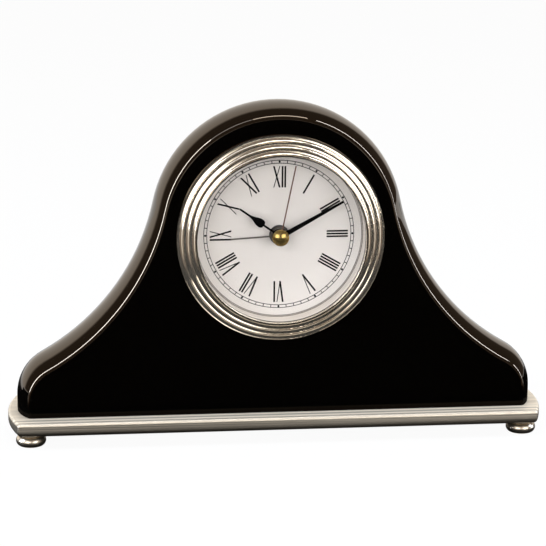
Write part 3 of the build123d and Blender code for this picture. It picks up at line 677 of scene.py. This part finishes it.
class Workshop:
    """Lays finishes on nodes and new pieces; a finish's material is made once."""

    def __init__(self, nodes: Nodes, joints: list[dict]) -> None:
        """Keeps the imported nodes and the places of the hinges.

        Args:
            nodes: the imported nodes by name.
            joints: the record's joints, of which slides have no place.
        """
        hinges = [joint for joint in joints if joint["type"] == "hinge"]
        self.nodes = nodes
        self.hinges: dict[str, Point] = {hinge["name"]: hinge["pos_m"] for hinge in hinges}
        self.made: dict[Slot, bpy.types.Material] = {}

    def material(self, slot: Slot) -> bpy.types.Material:
        """Finds a slot's material, which is made at its first use.

        Args:
            slot: the slot.
        Returns:
            The material.
        """
        if slot not in self.made:
            self.made[slot] = FINISHES[slot].material(slot.value)
        return self.made[slot]

    def dress(self, name: str, slot: Slot, look: Finish | None = None) -> None:
        """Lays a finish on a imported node.

        Args:
            name: the node.
            slot: the material that it takes.
            look: its own finish, where that differs from the slot's.
        """
        mesh = self.nodes[name].data
        mesh.materials.clear()
        mesh.materials.append(look.material(f"{slot.value}_{name}") if look else self.material(slot))
        log.info("node %s dressed with %s", name, slot.value)

    def add(self, piece: Piece, body: str, slot: Slot) -> None:
        """Finishes a new piece and lets it ride on a body.

        Args:
            piece: the piece, its place in its mesh.
            body: the body it moves with.
            slot: the finish it takes.
        """
        piece.data.materials.clear()
        piece.data.materials.append(self.material(slot))
        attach(piece, body)
        log.info("piece %s rides on %s with %s", piece.name, body, slot.value)


class Bench:
    """Modelling steps by hand tools, on one piece at a time."""

    @staticmethod
    def clear() -> None:
        """Deselects everything in object mode."""
        if bpy.context.object and bpy.context.object.mode != "OBJECT":
            bpy.ops.object.mode_set(mode="OBJECT")
        bpy.ops.object.select_all(action="DESELECT")

    @staticmethod
    def take(piece: Piece) -> None:
        """Makes a piece the active one and the only one selected.

        Args:
            piece: the piece to work on.
        """
        Bench.clear()
        piece.select_set(True)
        bpy.context.view_layer.objects.active = piece

    @staticmethod
    def edit() -> None:
        """Goes into edit mode with the whole mesh selected."""
        bpy.ops.object.mode_set(mode="EDIT")
        bpy.ops.mesh.select_all(action="SELECT")

    @staticmethod
    def leave() -> Piece:
        """Goes back to object mode and gives the piece."""
        bpy.ops.object.mode_set(mode="OBJECT")
        return bpy.context.object

    @staticmethod
    def pick(test: Callable[[Vector], bool]) -> None:
        """Selects the vertices that pass a test, and what lies between them.

        Args:
            test: takes a vertex's place and says whether it is picked.
        """
        bpy.ops.mesh.select_all(action="DESELECT")
        bpy.ops.mesh.select_mode(type="VERT")
        bpy.ops.object.mode_set(mode="OBJECT")
        for vertex in bpy.context.object.data.vertices:
            vertex.select = test(vertex.co)
        bpy.ops.object.mode_set(mode="EDIT")

    @staticmethod
    def start_bar(width: float, height: float) -> None:
        """Starts a flat bar about the origin and stays in edit mode.

        Args:
            width: its size along X.
            height: its size along Y.
        """
        Bench.clear()
        bpy.ops.mesh.primitive_plane_add(size=1.0, location=ORIGIN)
        Bench.edit()
        bpy.ops.transform.resize(value=(width, height, 1.0))

    @staticmethod
    def start_ring(radius: float, line: float, steps: int) -> None:
        """Starts a flat ring about the origin and stays in edit mode.

        Args:
            radius: its middle radius.
            line: its width.
            steps: how many sides it has.
        """
        inner = radius - line / 2
        growth = (radius + line / 2) / inner
        Bench.clear()
        bpy.ops.mesh.primitive_circle_add(vertices=steps, radius=inner)
        Bench.edit()
        bpy.ops.mesh.extrude_edges_move()
        bpy.ops.transform.resize(value=(growth, growth, 1.0))
        bpy.ops.mesh.select_all(action="SELECT")

    @staticmethod
    def join(pieces: list[Piece], name: str) -> Piece:
        """Joins pieces into one.

        Args:
            pieces: the pieces, the first of which stays.
            name: the joined piece's name.
        Returns:
            The joined piece.
        """
        Bench.take(pieces[0])
        for piece in pieces[1:]:
            piece.select_set(True)
        if len(pieces) > 1:
            bpy.ops.object.join()
        pieces[0].name = name
        pieces[0].data.name = name
        return pieces[0]

    @staticmethod
    def thicken(piece: Piece, thickness: float) -> None:
        """Gives a flat print its thickness towards the viewer.

        Args:
            piece: a flat piece, whose faces are first turned to +Z.
            thickness: the thickness in metres.
        """
        Bench.take(piece)
        for polygon in piece.data.polygons:
            polygon.select = polygon.normal.z < 0.0
        bpy.ops.object.mode_set(mode="EDIT")
        bpy.ops.mesh.select_mode(type="FACE")
        bpy.ops.mesh.flip_normals()
        Bench.leave()
        wall = piece.modifiers.new("thickness", "SOLIDIFY")
        wall.thickness = thickness
        wall.offset = 1.0
        bpy.ops.object.modifier_apply(modifier=wall.name)

    @staticmethod
    def stand(piece: Piece, surface: float, turn: float = 0.0) -> None:
        """Stands a flat print, drawn in XY about the origin, upright about the dial's centre.

        Args:
            piece: the print, facing +Z.
            surface: the Y of the surface that it lies on.
            turn: 0 for a print that faces the front, half a turn for one that faces the back.
        """
        Bench.take(piece)
        piece.rotation_euler = (math.pi / 2, 0.0, turn)
        piece.location = (0.0, surface, DIAL_HEIGHT)
        bpy.ops.object.transform_apply(location=True, rotation=True, scale=True)


class Letter(Enum):
    """The letters that hour numbers are written with."""

    UPRIGHT = "I"
    VEE = "V"
    CROSS = "X"


@dataclass
class DialPrint:
    """The print of the dial: hour numbers and the minute track with its dots; with a grey line round the
    edge, a painted shadow where the dial meets the reflector ring.
    """

    ink: float = 0.03 * MM
    number_inner: float = 16.2 * MM
    number_outer: float = 23.5 * MM
    thick: float = 0.60 * MM
    thin: float = 0.30 * MM
    upright_pitch: float = 0.93 * MM
    vee_reach: float = 2.0 * MM
    cross_reach: float = 2.0 * MM
    gap: float = 0.48 * MM
    track_outer: float = 25.5 * MM
    track_inner: float = 24.5 * MM
    track_line: float = 0.22 * MM
    tick_line: float = 0.26 * MM
    dot_radius: float = 0.36 * MM
    dot_inset: float = 0.09 * MM
    dot_steps: int = 20
    gap_shadow_radius: float = 28.2 * MM
    ring_steps: int = 180
    merge: float = 0.001 * MM
    minutes: int = 60
    hours: int = 12
    numbers: tuple[str, ...] = (
        "XII", "I", "II", "III", "IIII", "V", "VI", "VII", "VIII", "IX", "X", "XI")

    def slant(self, width: float, low: float, high: float) -> Piece:
        """Draws one stroke across the number's height.

        Args:
            width: the stroke's width, measured level.
            low: where the stroke's middle meets the inner end.
            high: where it meets the outer end.
        Returns:
            The flat stroke, its middle at the height of the number's place on the dial.
        """
        middle = (self.number_outer + self.number_inner) / 2
        Bench.start_bar(width, self.number_outer - self.number_inner)
        bpy.ops.transform.translate(value=(low, middle, 0.0))
        Bench.pick(lambda spot: spot.y > middle)
        bpy.ops.transform.translate(value=(high - low, 0.0, 0.0))
        return Bench.leave()

    def reach(self, letter: Letter) -> float:
        """How wide a letter is from its first stroke's middle to its last."""
        reaches = {Letter.UPRIGHT: 0.0, Letter.VEE: self.vee_reach, Letter.CROSS: self.cross_reach}
        return reaches[letter]

    def letter(self, letter: Letter, left: float) -> list[Piece]:
        """Draws one letter of a number.

        Args:
            letter: which letter.
            left: the middle of its leftmost stroke.
        Returns:
            Its strokes.
        """
        right = left + self.reach(letter)
        middle = (left + right) / 2
        if letter is Letter.UPRIGHT:
            return [self.slant(self.thick, left, left)]
        if letter is Letter.VEE:
            return [self.slant(self.thick, middle, left), self.slant(self.thin, middle, right)]
        return [self.slant(self.thick, right, left), self.slant(self.thin, left, right)]

    def number(self, hour: int) -> Piece:
        """Draws an hour's number, its top outwards.

        Args:
            hour: the hour, 0 for the top.
        Returns:
            The flat number, turned to its place.
        """
        letters = [Letter(mark) for mark in self.numbers[hour]]
        places = [0.0]
        for before, after in zip(letters, letters[1:]):
            both_upright = before is Letter.UPRIGHT and after is Letter.UPRIGHT
            step = self.upright_pitch if both_upright else self.gap + (self.thick + self.thin) / 2
            places.append(places[-1] + self.reach(before) + step)
        half = (places[-1] + self.reach(letters[-1])) / 2
        strokes: list[Piece] = []
        for letter, place in zip(letters, places):
            strokes += self.letter(letter, place - half)
        drawn = Bench.join(strokes, f"number_{hour}")
        drawn.rotation_euler = (0.0, 0.0, -math.tau * hour / self.hours)
        bpy.ops.object.transform_apply(location=False, rotation=True, scale=False)
        return drawn

    def ring(self, radius: float) -> Piece:
        """Draws a thin ring of the track, or the grey painted shadow line round the dial's edge.

        Args:
            radius: its middle radius.
        Returns:
            The flat ring.
        """
        Bench.start_ring(radius, self.track_line, self.ring_steps)
        bpy.ops.mesh.normals_make_consistent(inside=False)
        return Bench.leave()

    def around(self, count: int) -> Piece:
        """Moves the selected mesh out to the track, copies it round and merges the last with the first.

        Args:
            count: how many there are in the whole round.
        Returns:
            The flat piece.
        """
        middle = (self.track_outer + self.track_inner) / 2
        bpy.ops.transform.translate(value=(0.0, middle, 0.0))
        bpy.ops.mesh.spin(
            steps=count, dupli=True, angle=math.tau, center=ORIGIN, axis=(0.0, 0.0, 1.0))
        bpy.ops.mesh.select_all(action="SELECT")
        bpy.ops.mesh.remove_doubles(threshold=self.merge)
        bpy.ops.mesh.normals_make_consistent(inside=False)
        return Bench.leave()

    def ticks(self) -> Piece:
        """Draws the sixty minute ticks between the two rings."""
        Bench.start_bar(self.tick_line, self.track_outer - self.track_inner)
        return self.around(self.minutes)

    def dots(self) -> Piece:
        """Draws the twelve dots of the track at the hours.

        Returns:
            The flat dots.
        """
        Bench.clear()
        bpy.ops.mesh.primitive_circle_add(
            vertices=self.dot_steps, radius=self.dot_radius, fill_type="NGON")
        Bench.edit()
        bpy.ops.mesh.inset(thickness=self.dot_inset, depth=0.0)
        bpy.ops.mesh.select_all(action="SELECT")
        return self.around(self.hours)

    def build(self, shop: Workshop) -> None:
        """Draws the print and the painted shadow line round the edge, and lays them on the dial.

        Args:
            shop: where pieces get their finish.
        """
        numbers = [self.number(hour) for hour in range(self.hours)]
        laid_on_dial = [(Bench.join(numbers, "dial_numbers"), Slot.HAND_BLACK)]
        track = [self.ring(self.track_outer), self.ring(self.track_inner), self.ticks()]
        laid_on_dial.append((Bench.join(track, "dial_track"), Slot.HAND_BLACK))
        laid_on_dial.append((Bench.join([self.dots()], "dial_dots"), Slot.HAND_BLACK))
        # The grey ring at the edge is no print: it is a painted shadow where the dial meets the
        # reflector ring.
        laid_on_dial.append((Bench.join([self.ring(self.gap_shadow_radius)], "dial_edge"), Slot.HAND_GREY))
        dial_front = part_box("dial")[0].y
        for piece, slot in laid_on_dial:
            Bench.thicken(piece, self.ink)
            Bench.stand(piece, dial_front)
            shop.add(piece, "insert", slot)


@dataclass
class RearMarks:
    """Marks on the back: an arrow at each knob and a plus on the battery door; and a black cross on each
    screw, a painted shade for the drive recess that the head lacks.

    Places are seen from behind: across to the viewer's right, then up from the dial's centre.
    """

    ink: float = 0.03 * MM
    line: float = 0.5 * MM
    arrow_radius: float = 6.3 * MM
    arrow_half_angle: float = math.radians(55.0)
    arrow_steps: int = 72
    head_radius: float = 1.0 * MM
    head_stretch: Point = (0.9, 1.4, 1.0)
    plus_size: float = 2.4 * MM
    plus_rise: float = 3.9 * MM
    recess_shade_size: float = 2.1 * MM
    recess_shade_turn: float = math.radians(20.0)
    screws: tuple[Pair, ...] = (
        (-13.5 * MM, 10.5 * MM), (13.5 * MM, 10.5 * MM), (3.0 * MM, -20.5 * MM))

    def over(self, hinge: Point, rise: float = 0.0) -> Pair:
        """The place seen from behind that lies a rise above a hinge."""
        return (-hinge[0], hinge[2] + rise - DIAL_HEIGHT)

    def bar(self, size: float, spot: Pair, turn: float) -> Piece:
        """Draws one bar of a plus or cross.

        Args:
            size: the bar's length.
            spot: its middle.
            turn: its angle.
        Returns:
            The flat bar.
        """
        Bench.start_bar(size, self.line)
        bpy.ops.transform.rotate(value=-turn, orient_axis="Z", center_override=ORIGIN)
        bpy.ops.transform.translate(value=(*spot, 0.0))
        return Bench.leave()

    def crossed(self, size: float, spot: Pair, turn: float) -> list[Piece]:
        """Draws two bars across each other; the second is two halves, so that nothing overlaps.

        Args:
            size: the length of each bar.
            spot: where they cross.
            turn: the first bar's angle.
        Returns:
            The flat bars.
        """
        half = (size - self.line) / 2
        reach = (half + self.line) / 2
        bars = [self.bar(size, spot, turn)]
        for shift in (-reach, reach):
            side = (spot[0] - shift * math.sin(turn), spot[1] + shift * math.cos(turn))
            bars.append(self.bar(half, side, turn + math.pi / 2))
        return bars

    def arrow(self, spot: Pair, name: str) -> Piece:
        """Draws an arc over a knob with a head at its right end.

        Args:
            spot: the knob's middle.
            name: the piece's name.
        Returns:
            The flat arrow.
        """
        across = math.sin(self.arrow_half_angle)
        above = math.cos(self.arrow_half_angle)
        Bench.start_ring(self.arrow_radius, self.line, self.arrow_steps)
        for side in (-above, above):
            bpy.ops.mesh.select_all(action="SELECT")
            bpy.ops.mesh.bisect(plane_co=ORIGIN, plane_no=(side, -across, 0.0), clear_outer=True)
        bpy.ops.mesh.select_all(action="SELECT")
        bpy.ops.transform.translate(value=(*spot, 0.0))
        arc = Bench.leave()
        Bench.clear()
        bpy.ops.mesh.primitive_circle_add(vertices=3, radius=self.head_radius, fill_type="NGON")
        Bench.edit()
        bpy.ops.transform.resize(value=self.head_stretch)
        head_turn = math.pi / 2 + self.arrow_half_angle
        bpy.ops.transform.rotate(value=head_turn, orient_axis="Z", center_override=ORIGIN)
        end = (spot[0] + self.arrow_radius * across, spot[1] + self.arrow_radius * above)
        bpy.ops.transform.translate(value=(*end, 0.0))
        return Bench.join([arc, Bench.leave()], name)

    def build(self, shop: Workshop) -> None:
        """Draws the marks and the painted recess shades, and lays them on the rear wall and the door.

        Args:
            shop: where pieces get their finish.
        """
        recess_shades: list[Piece] = []
        # Painted shade: a black cross on each screw head stands in for the shade in its drive recess.
        for spot in self.screws:
            recess_shades += self.crossed(self.recess_shade_size, spot, self.recess_shade_turn)
        arrow_time = self.arrow(self.over(shop.hinges["time_set_spin"]), "arrow_time")
        arrow_alarm = self.arrow(self.over(shop.hinges["alarm_set_spin"]), "arrow_alarm")
        plus_spot = self.over(shop.hinges["door_turn"], self.plus_rise)
        plus = self.crossed(self.plus_size, plus_spot, 0.0)
        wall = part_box("movement_case")[1].y
        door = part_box("battery_door")[1].y
        marks = (
            (arrow_time, wall, "insert", Slot.DIAL),
            (arrow_alarm, wall, "insert", Slot.DIAL),
            (Bench.join(plus, "door_plus"), door, "door", Slot.DIAL),
            (Bench.join(recess_shades, "screw_crosses"), wall, "insert", Slot.HAND_BLACK),
        )
        for piece, surface, body, slot in marks:
            Bench.thicken(piece, self.ink)
            Bench.stand(piece, surface, math.pi)
            shop.add(piece, body, slot)


Listing = dict[Slot, tuple[str, ...]]


@dataclass
class Group:
    """A sub-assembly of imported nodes, listed by the slot whose finish they take."""

    finishes: Listing = field(default_factory=dict)
    looks: dict[str, Finish] = field(default_factory=dict)

    def dress(self, shop: Workshop) -> None:
        """Lays the finishes on the nodes.

        Args:
            shop: where nodes get their finish.
        """
        for slot, names in self.finishes.items():
            for name in names:
                shop.dress(name, slot, self.looks.get(name))


@dataclass
class Case(Group):
    """The lacquered case on its plated base and four feet."""

    finishes: Listing = field(default_factory=lambda: {
        Slot.LACQUER: ("case_body",),
        Slot.BASE: ("base_plate",),
        Slot.SCREW: ("case_screws",),
        Slot.FOOT: ("foot_front_left", "foot_front_right", "foot_rear_left", "foot_rear_right"),
    })


@dataclass
class Face(Group):
    """The front of the insert: bezel, glass, reflector ring, dial with its print and painted edge
    shadow, and hands.
    """

    finishes: Listing = field(default_factory=lambda: {
        Slot.BEZEL: ("bezel", "reflector_ring"),
        Slot.GLASS: ("lens_glass",),
        Slot.DIAL: ("dial",),
        Slot.HAND_GREY: ("alarm_hand",),
        Slot.HAND_BLACK: ("hour_hand", "minute_hand"),
        Slot.HAND_COPPER: ("second_hand",),
        Slot.CAP: ("second_hand_cap",),
    })
    looks: dict[str, Finish] = field(default_factory=lambda: {
        "reflector_ring": TurnedMetal((0.85, 0.81, 0.76), 0.08),
    })
    dial_print: DialPrint = field(default_factory=DialPrint)

    def dress(self, shop: Workshop) -> None:
        """Lays the finishes on the nodes, prints the dial and paints a shadow line round its edge."""
        super().dress(shop)
        self.dial_print.build(shop)


@dataclass
class Movement(Group):
    """The works behind the dial: plates, wheels, motor, electronics and cell."""

    finishes: Listing = field(default_factory=lambda: {
        Slot.CASE: ("front_plate", "middle_plate", "movement_case"),
        Slot.SCREW: ("movement_screws",),
        Slot.WHEEL: (
            "alarm_wheel", "alarm_idler", "hour_wheel", "motion_wheel", "cannon_pinion", "centre_wheel",
            "third_wheel", "seconds_wheel", "intermediate_wheel", "rotor_pinion", "coil_bobbin"),
        Slot.MAGNET: ("rotor_magnet",),
        Slot.IRON: ("stator", "coil_core"),
        Slot.COIL: ("motor_coil",),
        Slot.BOARD: ("circuit_board",),
        Slot.CHIP: ("driver_chip",),
        Slot.CAN: ("quartz_crystal", "battery_cell", "battery_contact_minus", "battery_contact_plus"),
        Slot.SOUNDER: ("sounder",),
    })


@dataclass
class RearControls(Group):
    """What is worked from behind: knobs, switch, battery door and the grip ring."""

    finishes: Listing = field(default_factory=lambda: {
        Slot.RUBBER: ("grip_ring",),
        Slot.CASE: ("battery_door", "time_knob", "alarm_knob"),
        Slot.WHEEL: ("time_set_shaft", "alarm_set_shaft"),
        Slot.SWITCH: ("alarm_switch",),
    })
    marks: RearMarks = field(default_factory=RearMarks)

    def dress(self, shop: Workshop) -> None:
        """Lays the finishes on the nodes, and the marks and painted screw recess shades on the rear
        wall.
        """
        super().dress(shop)
        self.marks.build(shop)


@dataclass(frozen=True)
class Softbox:
    """A rectangular studio lamp aimed at a point; the nodes that it spares get none of its light."""

    name: str
    place: Point
    width: float
    height: float
    power: float
    along: Point = (1.0, 0.0, 0.0)
    colour: Colour = WHITE
    aim: Point = (0.0, 0.0, 0.06)
    spared: tuple[str, ...] = ()

    def build(self, nodes: Nodes) -> None:
        """Hangs the lamp, its width along the given direction.

        Args:
            nodes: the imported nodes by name.
        """
        Bench.clear()
        behind = (Vector(self.place) - Vector(self.aim)).normalized()
        above = behind.cross(Vector(self.along)).normalized()
        turn = Matrix((above.cross(behind), above, behind)).transposed().to_euler()
        bpy.ops.object.light_add(type="AREA", location=self.place, rotation=turn)
        lamp = bpy.context.object
        lamp.name = self.name
        lamp.data.shape = "RECTANGLE"
        lamp.data.size = self.width
        lamp.data.size_y = self.height
        lamp.data.energy = self.power
        lamp.data.color = self.colour
        if self.spared:
            self.flag(lamp, nodes)
        log.info("lamp %s", self.name)

    def flag(self, lamp: bpy.types.Object, nodes: Nodes) -> None:
        """Keeps the lamp's light off the spared nodes.

        Args:
            lamp: the lamp.
            nodes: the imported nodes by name.
        """
        flagged = bpy.data.collections.new(f"{self.name}_flagged")
        for name in self.spared:
            flagged.objects.link(nodes[name])
        for entry in flagged.collection_objects:
            entry.light_linking.link_state = "EXCLUDE"
        lamp.light_linking.receiver_collection = flagged


@dataclass(frozen=True)
class Card:
    """A dark cloth on the floor with four corners, which only shows in what reflects it.

    It thins out to nothing between two depths, which lie past the floor unless they are given.
    """

    name: str
    corners: tuple[Pair, ...]
    colour: Colour = (0.004, 0.0035, 0.003)
    spread: Pair = (0.7, 1.3)
    weave_scale: float = 900.0
    rise: float = 0.3 * MM
    fade: Pair = (8.0, 9.0)

    def cloth(self) -> bpy.types.Material:
        """Makes the card's dull dark material.

        Returns:
            The material, which thins out towards the back.
        """
        made = bpy.data.materials.new(self.name)
        tree = ShaderTree(made)
        place = tree.place()
        shade = tree.shades(tree.noise(place, self.weave_scale), self.colour, self.spread)
        dark = tree.node("ShaderNodeBsdfDiffuse", None, {"Color": shade})
        clear = tree.node("ShaderNodeBsdfTransparent")
        thin = tree.ramp(tree.axis(place, "Y"), self.fade, soft=True)
        tree.surface(tree.mixed(thin, dark, clear))
        return made

    def build(self) -> None:
        """Lays the card: a square whose corners are dragged to their places."""
        Bench.clear()
        bpy.ops.mesh.primitive_plane_add(size=2.0, location=ORIGIN)
        Bench.edit()
        starts = ((-1.0, -1.0), (1.0, -1.0), (1.0, 1.0), (-1.0, 1.0))
        for start, corner in zip(starts, self.corners):
            before = Vector((*start, 0.0))
            Bench.pick(lambda spot, before=before: spot == before)
            shift = (corner[0] - start[0], corner[1] - start[1], self.rise)
            bpy.ops.transform.translate(value=shift)
        card = Bench.leave()
        card.name = self.name
        card.data.materials.append(self.cloth())
        card.visible_camera = False
        card.visible_diffuse = False
        card.visible_shadow = False
        log.info("card %s", self.name)


@dataclass(frozen=True)
class PhotoCamera:
    """The camera of the photograph."""

    eye: Point = (-82.11 * MM, -691.42 * MM, 227.41 * MM)
    yaw: float = math.radians(6.679)
    pitch: float = math.radians(13.882)
    roll: float = math.radians(0.474)
    lens: float = 138.095
    sensor: float = 36.0

    def build(self) -> None:
        """Sets up the camera."""
        forward = Vector((math.sin(self.yaw) * math.cos(self.pitch),
                          math.cos(self.yaw) * math.cos(self.pitch), -math.sin(self.pitch)))
        level = Vector((math.cos(self.yaw), -math.sin(self.yaw), 0.0))
        above = level.cross(forward)
        right = level * math.cos(self.roll) + above * math.sin(self.roll)
        upward = above * math.cos(self.roll) - level * math.sin(self.roll)
        turn = Matrix((right, upward, -forward)).transposed().to_euler()
        Bench.clear()
        bpy.ops.object.camera_add(location=self.eye, rotation=turn)
        camera = bpy.context.object
        camera.name = "photo_camera"
        camera.data.lens = self.lens
        camera.data.sensor_width = self.sensor
        bpy.context.scene.camera = camera
        log.info("camera %s", camera.name)


COOL: Colour = (0.92, 1.02, 1.2)
BROWN: Colour = (0.10, 0.068, 0.045)


@dataclass
class Studio:
    """A pale floor, a white backdrop, soft lamps and dark cards round the clock.

    The room before the clock and the sky behind it light it. Polished surfaces mirror the dim front and
    sides of the hall, and the backdrop.
    """

    floor_size: float = 8.0
    floor_colour: Colour = (0.86, 0.855, 0.845)
    floor_white: float = 0.95
    floor_roughness: float = 0.9
    floor_mirror: float = 1.3
    room: Colour = (0.26, 0.25, 0.235)
    sky: Colour = (0.62, 0.61, 0.60)
    front: Colour = (0.14, 0.105, 0.078)
    side: Colour = (0.12, 0.092, 0.068)
    side_edge: Pair = (-0.15, 0.15)
    backdrop: Colour = (1.0, 0.94, 0.87)
    backdrop_edge: Pair = (0.37, 0.52)
    backdrop_slant: float = 0.45
    lamps: tuple[Softbox, ...] = (
        Softbox("strip_left", (-0.741, -0.154, 0.40), width=0.835, height=0.1, power=5.0,
                along=(0.74, -0.06, 0.67), colour=COOL),
        Softbox("strip_left_high", (-0.36, -0.17, 0.76), width=0.45, height=0.1, power=0.4,
                along=(0.71, -0.06, 0.70), colour=COOL),
        Softbox("strip_right", (0.74, -0.08, 0.50), width=1.1, height=0.1, power=4.8,
                along=(-0.54, -0.12, 0.78), colour=COOL),
        Softbox("front_left", (-0.62, -1.05, 0.3), width=0.8, height=0.7, power=5.5,
                spared=("case_body",)),
        Softbox("front_right", (0.62, -1.05, 0.3), width=0.8, height=0.7, power=5.5,
                spared=("case_body",)),
        Softbox("top", (0.1, -0.2, 1.1), width=0.6, height=0.25, power=2.7),
    )
    cards: tuple[Card, ...] = (
        Card("card_front", ((-0.24, -0.80), (0.34, -0.80), (0.16, -0.015), (-0.14, -0.015))),
        Card("card_far", ((-0.9, -1.0), (0.9, -1.0), (0.34, -0.80), (-0.24, -0.80)), BROWN),
        Card("card_front_left", ((-0.9, -1.0), (-0.24, -0.80), (-0.12, -0.015), (-0.9, -0.22)), BROWN),
        Card("card_front_right", ((0.34, -0.80), (0.9, -1.0), (0.9, -0.22), (0.14, -0.015)), BROWN),
        Card("card_near", ((-0.20, -0.016), (0.20, -0.016), (0.30, 0.36), (-0.30, 0.36)),
             fade=(0.07, 0.34)),
        Card("card_left", ((-0.9, 0.10), (-0.09, 0.0), (-0.088, 0.002), (-0.9, 0.53))),
        Card("card_right", ((0.09, 0.0), (0.9, 0.10), (0.9, 0.86), (0.088, 0.002))),
    )

    def paint_world(self) -> None:
        """Paints the surroundings: white for the camera and on the backdrop, dim elsewhere."""
        world = bpy.data.worlds.new("studio_world")
        bpy.context.scene.world = world
        tree = ShaderTree(world)
        way = tree.node("ShaderNodeTexCoord", output="Generated")
        depth = tree.axis(way, "Y")
        right = tree.node("ShaderNodeMath", {"operation": "MAXIMUM"}, {0: tree.axis(way, "X"), 1: 0.0})
        behind = tree.ramp(depth, self.side_edge, soft=True)
        screen = tree.ramp(depth - self.backdrop_slant * right ** 2.0, self.backdrop_edge, soft=True)
        lit = tree.mix(behind, self.room, self.sky)
        mirrored = tree.mix(screen, tree.mix(behind, self.front, self.side), self.backdrop)
        dim = tree.mix(tree.ray(Ray.GLOSSY) + tree.ray(Ray.TRANSMISSION), lit, mirrored)
        colour = tree.mix(tree.ray(Ray.CAMERA), dim, WHITE)
        light = tree.node("ShaderNodeBackground", None, {"Color": colour, "Strength": 1.0})
        tree.surface(light, "ShaderNodeOutputWorld")

    def floor_material(self) -> bpy.types.Material:
        """Makes the pale floor's material.

        Returns:
            The material, which shows white and keeps the clock's shadow.
        """
        made = bpy.data.materials.new("studio_floor")
        tree = ShaderTree(made)
        seen = tree.ray(Ray.CAMERA) + tree.ray(Ray.GLOSSY) + tree.ray(Ray.TRANSMISSION)
        pale = tree.principled({
            "Base Color": self.floor_colour,
            "Roughness": self.floor_roughness,
            "IOR": self.floor_mirror,
        })
        white = tree.node("ShaderNodeEmission", None, {"Color": WHITE, "Strength": 1.0})
        tree.surface(tree.mixed(self.floor_white * seen, pale, white))
        return made

    def lay_floor(self) -> None:
        """Lays the floor."""
        Bench.clear()
        bpy.ops.mesh.primitive_plane_add(size=self.floor_size, location=ORIGIN)
        floor = bpy.context.object
        floor.name = "studio_floor"
        floor.data.materials.append(self.floor_material())

    def build(self, nodes: Nodes) -> None:
        """Sets up the studio.

        Args:
            nodes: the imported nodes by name.
        """
        bpy.context.scene.view_settings.view_transform = "Standard"
        self.paint_world()
        self.lay_floor()
        for card in self.cards:
            card.build()
        for lamp in self.lamps:
            lamp.build(nodes)
        PhotoCamera().build()


def main() -> None:
    """Builds the clock's looks and its studio in order."""
    logging.basicConfig(level=logging.INFO, format="%(name)s: %(message)s")
    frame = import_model()
    Bench.clear()
    shop = Workshop(frame["nodes"], frame["joints"])
    for group in (Case(), Face(), Movement(), RearControls()):
        group.dress(shop)
    Studio().build(frame["nodes"])


if __name__ == "__main__":
    main()
